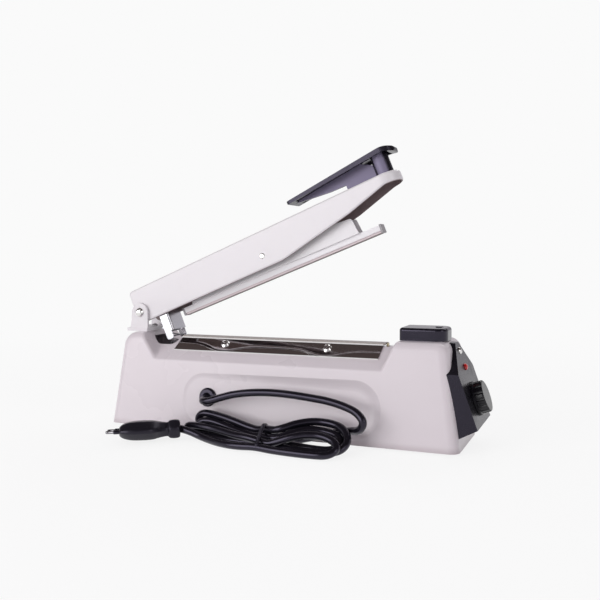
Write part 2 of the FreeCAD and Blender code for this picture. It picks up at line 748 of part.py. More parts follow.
def arm_channel():
    """A folded sheet channel, open below, with a rounded nose and a tapered underside."""
    body = new_body("arm_channel_blank")
    rear = -D.arm_rear
    pad(body, "XZ_Plane", [(rear, -D.arm_low, as_size(6)), (D.taper_start, -D.arm_low, as_size(60)),
                           (D.taper_middle, D.taper_middle_height), (D.taper_end, D.nose_low, as_size(12)),
                           (D.arm_length, D.nose_low + 0.4), (D.arm_length, D.arm_top),
                           (rear, D.arm_top, as_size(4))], D.arm_width)
    nose = D.arm_length.value
    round_edges(body, D.arm_width * 0.46,
                lambda edge: abs(middle_of(edge).x - nose) < 0.1 and runs_along(edge, Vec(0, 0, 1)))
    top = D.arm_top.value
    round_edges(body, D.arm_fold, lambda edge: abs(middle_of(edge).z - top) < 0.1 and middle_of(edge).x > 0)
    inner = D.arm_width - D.arm_sheet * 2
    sketch = new_sketch(body, "XY_Plane", D.arm_top - D.arm_sheet)
    end = D.arm_length - D.arm_sheet
    outline(sketch, [(rear - 5, -inner / 2), (end, -inner / 2, inner * 0.46), (end, inner / 2, inner * 0.46),
                     (rear - 5, inner / 2)])
    extrude(body, "Pocket", sketch, D.arm_top * 3, as_size(0))
    pocket_rings(body, "XZ_Plane", [(as_size(0), as_size(0), D.hinge_bolt_diameter / 2 + D.bolt_clearance),
                                    (D.pin_along, D.pin_up, D.pin_diameter / 2)], D.arm_width * 2)
    keep(drilled(body, "arm_channel", handle_screw_places(), pass_radius(), 4), "arm")


arm_channel()


# Handle

def handle():
    """The black grip: a shallow tray over the arm, a web below it and a boss on the nose."""
    body = new_body("handle_blank")
    depth = D.grip_depth
    half = D.grip_width / 2
    pad(body, "XY_Plane", [(D.grip_tip, -half, as_size(3.5)), (D.grip_end, -half, half * 0.92),
                           (D.grip_end, half, half * 0.92), (D.grip_tip, half, as_size(3.5))],
        D.grip_crest_height + 4 - D.arm_top, as_size(0), offset=D.arm_top)
    around = new_sketch(body, "XZ_Plane")
    outline(around, [(D.grip_tip, D.grip_tip_height, as_size(1)),
                     (D.grip_tip + 1, D.grip_tip_height - depth * 0.7, as_size(0.8)),
                     (D.grip_crest, D.grip_crest_height - depth, as_size(20)),
                     (D.grip_end - 1, D.grip_end_height - depth, as_size(1.5)),
                     (D.grip_end, D.grip_end_height, as_size(2.2)),
                     (D.grip_crest, D.grip_crest_height, as_size(24))])
    outline(around, box_corners(D.grip_tip - 10, D.arm_top - 10, D.grip_end + 10, D.grip_crest_height + 15))
    extrude(body, "Pocket", around, D.grip_width * 2)
    rise = (D.grip_crest_height - D.grip_tip_height) / (D.grip_crest - D.grip_tip)
    start = D.grip_tip + 8
    stop = D.grip_end - 7
    ceiling = D.grip_crest_height - D.grip_wall
    pocket(body, "XZ_Plane", [(start, D.grip_tip_height + rise * 8 - D.grip_wall), (D.grip_crest, ceiling),
                              (stop, ceiling - 0.8), (stop, D.grip_tip_height - depth * 2),
                              (start, D.grip_tip_height - depth * 2)], (half - D.grip_wall) * 2)
    pad(body, "XZ_Plane", [(D.grip_tip + 3, D.grip_tip_height - depth * 0.6),
                           (D.web_middle, D.web_middle_height), (D.web_step, D.web_step_height),
                           (D.web_step, D.arm_top), (D.boss_place, D.arm_top), (D.boss_place, ceiling),
                           (D.grip_tip + 8, D.grip_tip_height - 1)], D.web_thick)
    boss_rear = D.boss_place - D.boss_diameter / 2
    pocket(body, "XZ_Plane", [(boss_rear - 9, ceiling - 2.2), (boss_rear + 0.4, ceiling - 7.4),
                              (boss_rear + 0.4, ceiling - 1.6)], D.web_thick * 2)
    boss = new_sketch(body, "XY_Plane", D.arm_top)
    ring(boss, D.boss_place, as_size(0), D.boss_diameter / 2)
    extrude(body, "Pad", boss, ceiling + 0.4 - D.arm_top, as_size(0))
    keep(drilled(body, "handle", handle_screw_places(), bite_radius(), 12), "arm")
    group("handle_screws", screw_shape(5.4, 1.9, D.screw.value, 11), handle_screw_places(), "arm")


handle()


# Pressure bar, its carrier and pin

def carrier():
    """A folded channel that carries the pressure bar and rocks on the pin."""
    body = new_body("bar_carrier_blank")
    reach = D.carrier_reach
    low = -D.bar_top
    high = D.carrier_wall_top
    pad(body, "XZ_Plane", [(-reach, low), (reach, low), (reach - 2, high - 6, as_size(2)), (12, high, as_size(6)),
                           (-12, high, as_size(6)), (2 - reach, high - 6, as_size(2))], D.carrier_width)
    sketch = new_sketch(body, "XY_Plane", high + 5)
    half = D.carrier_width / 2 - D.carrier_sheet
    outline(sketch, box_corners(-reach - 5, -half, reach + 5, half))
    extrude(body, "Pocket", sketch, high + 5 + D.bar_top - D.carrier_sheet, as_size(0))
    pocket_rings(body, "XZ_Plane", [(as_size(0), as_size(0), D.pin_diameter / 2 + D.pin_clearance)],
                 D.carrier_width * 2)
    keep(drilled(body, "bar_carrier", bar_screw_places(), pass_radius(), 4), "bar")


def bar_screw_places():
    """Two screws go down through the carrier into the pressure bar."""
    return [at(D.bar_screw_reach * side, 0, D.carrier_sheet - D.bar_top) for side in (-1, 1)]


def pressure_bar():
    """The white holder: a flat bar with two lips that hold the silicone strip."""
    body = new_body("pressure_bar_blank")
    half = D.bar_width / 2
    groove = D.silicone_width / 2
    top = -D.bar_top
    pad(body, "YZ_Plane", [(-half, top), (-half, -D.silicone_top), (-groove, -D.silicone_top),
                           (-groove, 1.6 - D.silicone_top), (groove, 1.6 - D.silicone_top), (groove, -D.silicone_top),
                           (half, -D.silicone_top), (half, top)], D.bar_front - D.cap_thick,
        -D.bar_rear - D.cap_thick)
    keep(drilled(body, "pressure_bar", bar_screw_places(), bite_radius(), 4.1), "bar")
    group("bar_screws", screw_shape(5.4, 1.9, D.screw.value, 4), bar_screw_places(), "bar")


def silicone_strip():
    body = new_body("silicone_strip")
    half = D.silicone_width / 2 - 0.05
    high = 1.6 - D.silicone_top
    pad(body, "YZ_Plane", [(-half, high), (-half, -D.silicone_bottom, as_size(0.6)),
                           (half, -D.silicone_bottom, as_size(0.6)), (half, high)],
        D.bar_front - D.cap_thick, -D.bar_rear - D.cap_thick)
    keep(body, "bar")


def bar_cap(name, start):
    """A moulded cap on one end of the bar."""
    body = new_body(name)
    half = D.bar_width / 2 + 0.4
    pad(body, "YZ_Plane", box_corners(-half, -D.silicone_bottom, half, 0.6 - D.bar_top, as_size(0.8)),
        D.cap_thick, as_size(0), offset=start)
    keep(body, "bar")


def carrier_pin():
    """A pin riveted over at both walls of the arm: the bar rocks on it."""
    reach = D.arm_width.value / 2
    radius = D.pin_diameter.value / 2
    head = 5.2 / 2
    points = [(0, -reach - 0.9), (head * 0.7, -reach - 0.8), (head, -reach - 0.2), (head, -reach), (radius, -reach),
              (radius, reach), (head, reach), (head, reach + 0.2), (head * 0.7, reach + 0.8), (0, reach + 0.9)]
    shape = turned_shape(points)
    group("carrier_pin", shape, [at(D.pin_along, 0, D.pin_up, Vec(1, 0, 0), 90)], "arm")


carrier()
pressure_bar()
silicone_strip()
bar_cap("bar_cap_front", D.bar_front - D.cap_thick)
bar_cap("bar_cap_rear", D.bar_rear)
carrier_pin()


# Return spring and its bracket

def spring_bracket():
    """A folded bracket below the arm that bears on the return spring."""
    body = new_body("spring_bracket")
    half = D.bracket_face / 2
    rear = D.spring_place - D.bracket_deep
    front = D.spring_place
    top = D.arm_top - D.arm_sheet
    low = -D.bracket_hang
    sheet_thick = D.bracket_sheet
    outline_xy = [(rear, -half), (front, -half, as_size(2.5)), (front, half, as_size(2.5)), (rear, half),
                  (rear, half - sheet_thick), (front - sheet_thick, half - sheet_thick, as_size(1.5)),
                  (front - sheet_thick, sheet_thick - half, as_size(1.5)), (rear, sheet_thick - half)]
    pad(body, "XY_Plane", outline_xy, top - low, as_size(0), offset=low)
    foot = low - D.flange_drop
    for side in (-1, 1):
        sketch = new_sketch(body, "XZ_Plane", (half - sheet_thick / 2) * side)
        outline(sketch, [(rear, low + 2), (rear, foot, as_size(2)), (front - 2.5, foot, as_size(2)),
                         (front - 2.5, low + 2)])
        extrude(body, "Pad", sketch, sheet_thick)
    tilt = tangent(D.arm_open)
    pad(body, "XZ_Plane", [(front, low), (front, low + 1.2), (rear - 3, low + 1.2 + (D.bracket_deep + 3) * tilt),
                           (rear - 3, low + (D.bracket_deep + 3) * tilt)], D.bracket_face - 5)
    keep(body, "arm")


def coil_shape(radius, wire, low, high, turns):
    """A round-wire compression spring about Z between two heights."""
    start = low + wire / 2
    tall = high - low - wire
    path = Part.makeHelix(tall / turns, tall, radius)
    path.translate(Vec(0, 0, start))
    ring_wire = Part.Wire(Part.Circle(Vec(radius, 0, start), Vec(0, 1, 0), wire / 2).toShape())
    return path.makePipeShell([ring_wire], True, True)


def spring_top():
    """Height of the bracket's level foot in the housing's frame, with the arm open."""
    lean = math.radians(D.arm_open.value)
    return (D.hinge_height.value + D.spring_place.value * math.sin(lean)
            - D.bracket_hang.value * math.cos(lean))


def return_spring():
    radius = (D.spring_diameter - D.spring_wire).value / 2
    shape = coil_shape(radius, D.spring_wire.value, D.seat_height.value, spring_top() - 0.2, D.spring_turns.value)
    group("return_spring", shape, [at(D.spring_middle, 0, 0)])


def spring_seat():
    """A moulded post on the floor plate with a peg inside the spring."""
    low = (D.floor_inset + D.floor_thick).value
    top = D.seat_height.value
    peg = D.spring_diameter.value / 2 - D.spring_wire.value - 0.4
    shape = turned_shape([(0, low), (12, low), (12, low + 2), (6.5, low + 3), (6.5, top - 2), (7.5, top - 1),
                          (7.5, top), (peg, top), (peg, top + 5), (peg - 0.8, top + 6), (0, top + 6)])
    group("spring_seat", shape, [at(D.spring_middle, 0, 0)])


spring_bracket()
return_spring()
spring_seat()


# Sealing rail, element, films and clamp plates

def seal_rail():
    body = new_body("seal_rail")
    half = D.rail_width / 2
    pad(body, "XY_Plane", box_corners(D.rail_rear, -half, D.rail_front, half), D.rail_rise + D.rail_sunk, as_size(0),
        offset=D.ridge_height - D.rail_sunk)
    high = rail_height().value

    def top_edge(edge):
        return abs(middle_of(edge).z - high) < 0.1 and runs_along(edge, Vec(1, 0, 0))

    round_edges(body, as_size(1), top_edge)
    keep(body)


def film_strip(name, half, low, thick, rear, front):
    body = new_body(name)
    pad(body, "XY_Plane", box_corners(rear, -half, front, half), thick, as_size(0), offset=low)
    keep(body)


def clamp_plate(name, side):
    """A polished plate on one flank of the ridge, turned up along the rail."""
    body = new_body(f"{name}_blank")
    low = D.plate_low_half
    knee = D.ridge_width / 2
    lip = D.rail_width / 2 + D.film * 3
    sheet_thick = D.plate_sheet
    high = rail_height() - 0.5
    flank = [(low * side, roof_line(low)), (knee * side, D.ridge_height), (lip * side, D.ridge_height),
             (lip * side, high), ((lip + sheet_thick) * side, high),
             ((lip + sheet_thick) * side, D.ridge_height + sheet_thick),
             (knee * side, D.ridge_height + sheet_thick * 1.1), (low * side, roof_line(low) + sheet_thick * 1.15)]
    sketch = new_sketch(body, "YZ_Plane")
    outline(sketch, flank)
    extrude(body, "Pad", sketch, D.plate_front, -D.plate_rear)
    places = [place for place in plate_screw_places() if place.Base.y * side > 0]
    keep(drilled(body, name, places, pass_radius(), 3))


def ptfe_cover():
    """The non-stick film over the rail and the element, held down by both clamp plates."""
    body = new_body("ptfe_cover")
    half = D.rail_width / 2 + D.film * 1.5
    low = rail_height() + D.film + D.element_thick + 0.02
    fall = D.ridge_height + 1.4
    pad(body, "YZ_Plane", [(-half, fall), (-half, low), (half, low), (half, fall), (half + D.film, fall),
                           (half + D.film, low + D.film), (-half - D.film, low + D.film), (-half - D.film, fall)],
        D.rail_front - 0.5, -D.rail_rear - 0.5)
    keep(body)


def terminals():
    """A brass tongue at each end of the rail takes the element down into the housing."""
    thick = D.terminal_sheet.value
    half = D.terminal_width.value / 2
    top = (rail_height() + D.film).value
    foot = (D.ridge_height - D.rail_sunk).value - 9
    shape = Part.makeBox(thick, half * 2, top - foot, Vec(0, -half, foot))
    group("element_terminals", shape, [at(D.rail_rear - thick - 0.05, 0, 0), at(D.rail_front + 0.05, 0, 0)])


def plate_screws():
    shape = screw_shape(8.4, 2.4, D.screw.value, D.clamp_screw_length.value)
    group("clamp_screws", shape, plate_screw_places())


terminals()
ptfe_cover()
plate_screws()
seal_rail()
film_strip("element_backing_film", D.rail_width / 2 - 1.4, rail_height(), D.film, D.rail_rear + 1, D.rail_front - 1)
film_strip("heating_element", D.element_width / 2, rail_height() + D.film, D.element_thick, D.rail_rear, D.rail_front)
clamp_plate("clamp_plate_near", -1)
clamp_plate("clamp_plate_far", 1)


# Switch block and plunger

def switch_block():
    body = new_body("switch_block_blank")
    half = D.block_width / 2
    foot = D.hump_height
    pad(body, "XY_Plane", [(D.block_rear, -half, D.block_rear_corner), (D.block_front, -half, D.block_front_corner),
                           (D.block_front, half, D.block_front_corner), (D.block_rear, half, D.block_rear_corner)],
        D.block_tall, as_size(0), offset=foot)
    top = (foot + D.block_tall).value
    round_edges(body, D.block_radius, lambda edge: abs(middle_of(edge).z - top) < 0.1)
    pocket_rings(body, "XY_Plane", [(D.plunger_place, as_size(0), D.plunger_diameter / 2 + 0.3)], D.block_tall * 3,
                 as_size(0), reverse=True, offset=foot - 5)
    pocket_rings(body, "XY_Plane", [(D.plunger_place, as_size(0), D.flange_diameter / 2 + 0.6)], D.block_hollow,
                 as_size(0), reverse=True, offset=foot)
    length = D.block_screw_length
    keep(drilled(body, "switch_block", block_screw_places(), bite_radius(), length + 0.3))
    group("block_screws", screw_shape(D.screw_head.value, 1.8, D.screw.value, length.value), block_screw_places())


def plunger():
    """The button, the flange that holds it in the block, and its stem."""
    crown = (D.hump_height + D.block_tall + D.plunger_rise).value
    ledge = (D.hump_height + D.block_hollow).value - 0.1
    button = D.plunger_diameter.value / 2
    flange = D.flange_diameter.value / 2
    stem = D.stem_diameter.value / 2
    low = switch_top() + D.plunger_travel.value + 0.2
    shape = turned_shape([(0, low), (stem, low), (stem, ledge - 1.2), (flange, ledge - 1.2), (flange, ledge),
                          (button, ledge), (button, crown - 0.5), (button - 0.5, crown), (0, crown)])
    group("switch_plunger", shape, [at(D.plunger_place, 0, 0)])
    shape = coil_shape(flange - 0.9, 0.8, D.hump_height.value, ledge - 1.3, 3)
    group("plunger_spring", shape, [at(D.plunger_place, 0, 0)])


def switch_top():
    return (D.hump_height - D.wall).value - 3.4


def micro_switch():
    """A small boxed switch under the hump, carried by a folded bracket on its far side."""
    top = switch_top()
    body = new_body("micro_switch")
    half = D.switch_width / 2
    length = D.switch_length
    pad(body, "XY_Plane", box_corners(length * -0.7, -half, length * 0.3, half), D.switch_tall, as_size(0),
        offset=as_size(top) - 1 - D.switch_tall)
    pad(body, "XY_Plane", box_corners(-1.5, -1, 1.5, 1), as_size(1.5), as_size(0), offset=as_size(top) - 1.5)
    pieces.append(body)
    body.Placement = frame_of("housing").multiply(at(D.plunger_place, 0, 0))
    bracket = new_body("switch_bracket_blank")
    ceiling = D.hump_height - D.wall
    near = half + 0.02
    foot = top - D.switch_tall
    pad(bracket, "YZ_Plane", [(near, foot), (near + D.switch_sheet, foot),
                              (near + D.switch_sheet, ceiling - D.switch_sheet), (near + 10, ceiling - D.switch_sheet),
                              (near + 10, ceiling), (near, ceiling)], D.plunger_place + 3.4, 10.6 - D.plunger_place)
    keep(drilled(bracket, "switch_bracket", block_screw_places()[1:], pass_radius(), 3))


switch_block()
plunger()
micro_switch()


# Control panel

def control_panel():
    """A hollow wedge on the front end: flat sloping face, shoulders cut back at the top."""
    body = new_body("control_panel_blank")
    half_base = D.base_length / 2
    lean = tangent(D.front_lean)
    rear_top = half_base - D.panel_top_height * lean - D.panel_wrap
    rear_foot = half_base - D.panel_foot_height * lean - D.panel_wrap
    pad(body, "XZ_Plane", [(rear_top, D.panel_top_height), (rear_foot, D.panel_foot_height),
                           (D.panel_low_front, D.panel_low_height), (D.panel_top_front, D.panel_top_height)],
        D.panel_half * 2)
    for side in (-1, 1):
        beyond = (D.panel_half + 5) * side
        pocket(body, "YZ_Plane", [(D.panel_top_half * side, D.panel_top_height + 1),
                                  (D.panel_half * side, D.panel_shoulder), (beyond, D.panel_shoulder),
                                  (beyond, D.panel_top_height + 1)],
               half_base + 60, as_size(0), reverse=True)
    wall = D.panel_wall
    slope = (D.panel_low_front - D.panel_top_front) / (D.panel_top_height - D.panel_low_height)
    hollow_top = D.panel_shoulder - wall
    hollow_low = D.panel_low_height + wall * 0.2
    face_inset = wall * 1.07
    pocket(body, "XZ_Plane", [(half_base - 20, hollow_top),
                              (D.panel_top_front + (D.panel_top_height - hollow_top) * slope - face_inset, hollow_top),
                              (D.panel_low_front - wall - 0.5, hollow_low),
                              (rear_foot + D.panel_wrap, D.panel_foot_height + wall * 1.3),
                              (half_base - 20, D.panel_foot_height + wall * 1.3)], (D.panel_half - wall) * 2)
    lamp_top = D.panel_top_height - D.lamp_along + 5
    face_front = D.panel_top_front + (D.panel_top_height - hollow_top) * slope - face_inset
    pocket(body, "XZ_Plane", [(half_base - 20, hollow_top - 1), (face_front, hollow_top - 1),
                              (D.panel_top_front + (D.panel_top_height - lamp_top) * slope - face_inset, lamp_top),
                              (half_base - 20, lamp_top)], D.lamp_room)
    seated = doc.addObject("Part::Cut", "control_panel_seated")
    seated.Base = body
    seated.Tool = housing_outer
    drilled_once = drilled(seated, "control_panel_bored", panel_screw_places(), pass_radius(), 8)
    lamp = drilled(drilled_once, "control_panel_lamp", [panel_frame().multiply(at(D.lamp_along, 0, 0))],
                   D.lamp_diameter / 2 + 0.1, 6)
    panel = drilled(lamp, "control_panel", [panel_frame().multiply(at(D.knob_along, 0, 0))], as_size(3.6), 6)
    keep(panel)
    shape = screw_shape(D.screw_head.value, 2, D.screw.value, D.panel_screw_length.value)
    group("panel_screws", shape, panel_screw_places())


def on_panel(along):
    return panel_frame().multiply(at(along, 0, 0))


def lamp():
    """A red lens pushed in from behind, with a collar against the panel."""
    radius = D.lamp_diameter.value / 2
    wall = D.panel_wall.value
    shape = turned_shape([(0, -wall - 1.9), (radius + 0.6, -wall - 1.9), (radius + 0.6, -wall - 0.5),
                          (radius, -wall - 0.5), (radius, 0.4), (radius * 0.86, 1.3), (radius * 0.5, 2),
                          (0, 2.3)])
    group("indicator_lens", shape, [on_panel(D.lamp_along)])


def potentiometer():
    """The timer's potentiometer: a can behind the panel with a threaded neck and a nut."""
    can = D.pot_diameter.value / 2
    wall = D.panel_wall.value
    shaft = D.shaft_diameter.value / 2
    low = -wall - 0.25 - D.pot_deep.value
    bore = shaft + 0.05
    shape = turned_shape([(0, low), (can, low), (can, -wall - 0.25), (3.5, -wall - 0.25), (3.5, 2.6), (bore, 2.6),
                          (bore, low + 1), (0, low + 1)])
    group("potentiometer", shape, [on_panel(D.knob_along)])
    flat = 5.2
    hexagon = [Vec(flat * math.cos(math.radians(60 * k)), flat * math.sin(math.radians(60 * k)), 0) for k in range(7)]
    nut = Part.Face(Part.makePolygon(hexagon)).extrude(Vec(0, 0, 1.8)).cut(Part.makeCylinder(3.55, 4, Vec(0, 0, -1)))
    group("potentiometer_nut", nut, [on_panel(D.knob_along).multiply(at(0, 0, 0.02))])
    turning = turned_shape([(0, low + 1.1), (shaft, low + 1.1), (shaft, D.knob_deep.value - 1.6),
                            (0, D.knob_deep.value - 1.6)])
    group("potentiometer_shaft", turning, [on_panel(D.knob_along)])


def knob():
    """A skirted dial, hollow behind, with grip flutes and a hub on the shaft."""
    body = new_body("timer_knob")
    rim = D.knob_skirt / 2
    grip = D.knob_diameter / 2
    deep = D.knob_deep
    lift = as_size(0.4)
    bore = D.shaft_diameter / 2 + 0.02
    turn(body, "XZ_Plane", [(bore, 3), (bore, deep - 1.5), (0, deep - 1.5), (0, deep), (grip, deep, as_size(1.2)),
                            (grip, 2.4), (rim, 2), (rim, lift), (grip - 1.6, lift), (grip - 1.6, deep - 2),
                            (bore + 1.6, deep - 2), (bore + 1.6, 3)], "V_Axis")
    flute = pocket_rings(body, "XY_Plane", [(grip + 1.1, as_size(0), as_size(1.8))], deep, as_size(0), reverse=True,
                         offset=as_size(2.4))
    doc.recompute()
    pattern = body.newObject("PartDesign::PolarPattern", "timer_knob_flutes")
    pattern.Originals = [flute]
    pattern.Axis = ([part for part in body.Origin.OriginFeatures if part.Role == "Z_Axis"][0], [""])
    pattern.Angle = 360
    pattern.Occurrences = int(D.knob_flutes.value)
    body.Tip = pattern
    pieces.append(body)
    body.Placement = frame_of("housing").multiply(on_panel(D.knob_along))


def timer_board():
    """The circuit board behind the potentiometer, with its relay."""
    back = -(D.panel_wall + 0.3 + D.pot_deep)
    body = new_body("timer_board")
    pad(body, "XY_Plane", box_corners(-D.board_up, -D.board_half, D.board_down, D.board_half), D.board_thick,
        as_size(0), offset=back - D.board_thick)
    relay = new_body("timer_relay")
    pad(relay, "XY_Plane", box_corners(as_size(-13), as_size(-8), as_size(1), as_size(8)), D.relay_tall, as_size(0),
        offset=back - D.board_thick - D.relay_tall)
    for piece in (body, relay):
        pieces.append(piece)
        piece.Placement = frame_of("housing").multiply(on_panel(D.knob_along))


control_panel()
lamp()
potentiometer()
knob()
timer_board()


# Transformer on the floor plate

def transformer():
    low = D.floor_inset + D.floor_thick
    top = low + D.core_tall
    left = D.core_place - D.core_length / 2
    right = D.core_place + D.core_length / 2
    blank = new_body("transformer_core_blank")
    pad(blank, "XZ_Plane", box_corners(left, low, right, top), D.core_deep)
    limb = D.limb / 2
    for side in (-1, 1):
        window = box_corners(D.core_place + limb * side, low + D.yoke,
                             D.core_place + (D.core_length / 2 - D.yoke) * side, top - D.yoke)
        pocket(blank, "XZ_Plane", window, D.core_deep * 2)
    keep(drilled(blank, "transformer_core", core_screw_places(), bite_radius(), 12))
    coil = new_body("transformer_coil")
    gap = D.coil_gap
    reach = D.core_length / 2 - D.yoke - gap
    deep = D.core_deep / 2 + gap
    sketch = new_sketch(coil, "XY_Plane", low + D.yoke + gap / 2)
    outline(sketch, box_corners(D.core_place - reach, -deep - D.coil_over, D.core_place + reach,
                                deep + D.coil_over, as_size(3)))
    outline(sketch, box_corners(D.core_place - limb - gap / 4, -deep, D.core_place + limb + gap / 4, deep))
    extrude(coil, "Pad", sketch, D.core_tall - D.yoke * 2 - gap, as_size(0))
    keep(coil)


transformer()


# Mains cord, its gland, the hank and the plug

LEAD = [(-59.4, -27.4, 28.6), (-59.4, -57, 32.3), (1, -53, 42), (57, -50, 39.5), (96, -52, 28), (93, -90.5, 20),
        (56, -84, 7.5)]
TAIL = [(2, -78.5, 3), (-19, -76.5, 1.6), (-50, -62, 3), (-68.5, -67.3, 6)]
HANK = [(-67, -43, 5), (-67, -53, 5), (-31, -65, 20), (4, -81, 12), (23, -87, 12), (67, -87, 12), (81, -79, 9),
        (81, -52, 9), (69, -45, 12), (19, -45, 12), (6, -49, 12), (-19, -43, 12)]


def cord(name, route):
    """Straight runs joined by tangent arcs, with the cord's round section along them."""
    points = [Vec(*point) for point in route]
    edges = []
    start = points[0]
    for index in range(1, len(points) - 1):
        here = points[index]
        back = points[index - 1] - here
        ahead = points[index + 1] - here
        half_turn = (math.pi - back.getAngle(ahead)) / 2
        reach = 0.45 * min(back.Length, ahead.Length)
        radius = reach / math.tan(half_turn)
        print(f"{name}: corner {index}, turn {math.degrees(half_turn) * 2:.0f}, radius {radius:.1f}")
        entry = here + back.normalize() * reach
        leave = here + ahead.normalize() * reach
        middle = here + (back + ahead).normalize() * (radius / math.cos(half_turn) - radius)
        edges.append(Part.makeLine(start, entry))
        edges.append(Part.Arc(entry, middle, leave).toShape())
        start = leave
    edges.append(Part.makeLine(start, points[-1]))
    path = Part.Wire(edges)
    section = Part.Wire(Part.Circle(points[0], points[1] - points[0], D.cord_diameter.value / 2).toShape())
    tube = path.makePipeShell([section], True, True)
    area = math.pi * (D.cord_diameter.value / 2) ** 2
    print(f"{name}: length {path.Length:.0f}, volume {tube.Volume / (area * path.Length):.3f} of section times length")
    group(name, tube, [at(0, 0, 0)])


def gland():
    """A moulded grommet in the near side, square to the sloping wall."""
    rim = D.gland_diameter.value / 2
    bore = D.cord_diameter.value / 2 + 0.25
    neck = D.gland_diameter.value * 0.31 - 0.1
    thick = D.gland_thick.value
    shape = turned_shape([(bore, -6), (neck, -6), (neck, 0.02), (rim, 0.02), (rim, thick * 0.45), (rim - 1.4, thick),
                          (bore + 1, thick), (bore, thick - 0.6)])
    group("cord_gland", shape, gland_places())


def hank():
    """The coiled length of cord on the floor, as one outer form, with a waist for its tie."""
    floor = -D.foot_drop
    body = new_body("cord_hank")
    sketch = new_sketch(body, "XY_Plane", floor)
    outline(sketch, [(as_size(x), as_size(y), as_size(radius)) for x, y, radius in HANK])
    extrude(body, "Pad", sketch, D.hank_height, as_size(0))
    top = (floor + D.hank_height).value
    low = floor.value
    round_edges(body, as_size(4), lambda edge: abs(edge.BoundBox.ZMin - top) < 0.01)
    round_edges(body, as_size(3), lambda edge: abs(edge.BoundBox.ZMax - low) < 0.01)
    waist = tie_outline(D.tie_thick)
    sketch = new_sketch(body, "YZ_Plane", D.tie_place)
    outline(sketch, waist)
    outline(sketch, box_corners(D.tie_near - 18, floor - 18, D.tie_far + 18, floor + D.hank_height + 18))
    extrude(body, "Pocket", sketch, D.tie_width + 0.2)
    keep(body)


def tie_outline(inset):
    floor = -D.foot_drop
    return box_corners(D.tie_near + inset, floor + inset, D.tie_far - inset, floor + D.hank_height + 0.4 - inset,
                       as_size(4) - inset / 2)


def hank_tie():
    """A strap round the waist of the hank."""
    body = new_body("hank_tie")
    sketch = new_sketch(body, "YZ_Plane", D.tie_place)
    outline(sketch, tie_outline(as_size(0)))
    outline(sketch, tie_outline(D.tie_thick - 0.05))
    extrude(body, "Pad", sketch, D.tie_width)
    keep(body)


def plug_frame():
    end = TAIL[-1]
    return at(end[0], end[1], end[2], Vec(0, 0, 1), 180 + 32.7)


def plug():
    """A flat moulded plug on its side, with a collar round the cord and two round pins."""
    body = new_body("plug_body_blank")
    half = D.plug_width / 2
    collar = D.plug_collar / 2
    length = D.plug_length
    plan = [(0, -collar, 2), (10, -collar, 4), (17, -half, 6), (length - 8, -half, 6), (length, -half + 4, 2),
            (length, half - 4, 2), (length - 8, half, 6), (17, half, 6), (10, collar, 4), (0, collar, 2)]
    pad(body, "XY_Plane", [(as_size(x), as_size(y), as_size(radius)) for x, y, radius in plan], D.plug_thick)
    around = new_sketch(body, "XZ_Plane")
    deep = D.plug_thick / 2
    side = [(0, -deep + 1, 2), (12, -deep + 1, 6), (20, -deep, 6), (length - 10, -deep, 6), (length, -deep + 2.5, 2),
            (length, deep - 2.5, 2), (length - 10, deep, 6), (20, deep, 6), (12, deep - 1, 6), (0, deep - 1, 2)]
    outline(around, [(as_size(x), as_size(y), as_size(radius)) for x, y, radius in side])
    outline(around, box_corners(as_size(-5), as_size(-20), length + 5, as_size(20)))
    extrude(body, "Pocket", around, D.plug_width * 2)
    places = [at(D.plug_length, D.plug_pin_pitch / 2 * side_y, 0, Vec(0, 1, 0), 90) for side_y in (-1, 1)]
    bored = drilled(body, "plug_body", places, D.plug_pin_diameter / 2 + 0.02, 8)
    pieces.append(bored)
    bored.Placement = frame_of("housing").multiply(plug_frame())
    radius = D.plug_pin_diameter.value / 2
    tip = D.pin_length.value
    pin = turned_shape([(0, -7.8), (radius, -7.8), (radius, tip * 0.55), (radius - 0.4, tip * 0.57),
                        (radius - 0.4, tip - 1.4), (radius - 1.6, tip), (0, tip)])
    group("plug_pins", pin, [plug_frame().multiply(place) for place in places])


cord("cord_lead", LEAD)
cord("cord_tail", TAIL)
gland()
hank()
hank_tie()
plug()


# Checks and export

def check_everything():
    doc.recompute()
    faults = []
    for item in doc.Objects:
        if "Invalid" in item.State or "Error" in item.State:
            faults.append(f"{item.Label} {item.State}")
    for piece in pieces:
        if piece.Shape.isNull() or not piece.Shape.isValid():
            faults.append(f"{piece.Label} has no valid shape")
    if faults:
        raise RuntimeError("; ".join(faults))


check_everything()
os.makedirs("parts", exist_ok=True)
for piece in pieces:
    piece.Shape.exportStep(f"parts/{piece.Label}.step")
    box = piece.Shape.BoundBox
    print(f"{piece.Label}: {len(piece.Shape.Solids)} solids, volume {piece.Shape.Volume:.0f}, "
          f"x {box.XMin:.1f} to {box.XMax:.1f}, y {box.YMin:.1f} to {box.YMax:.1f}, z {box.ZMin:.1f} to {box.ZMax:.1f}")
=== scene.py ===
import math

import bmesh
import bpy
from mathutils import Matrix, Vector


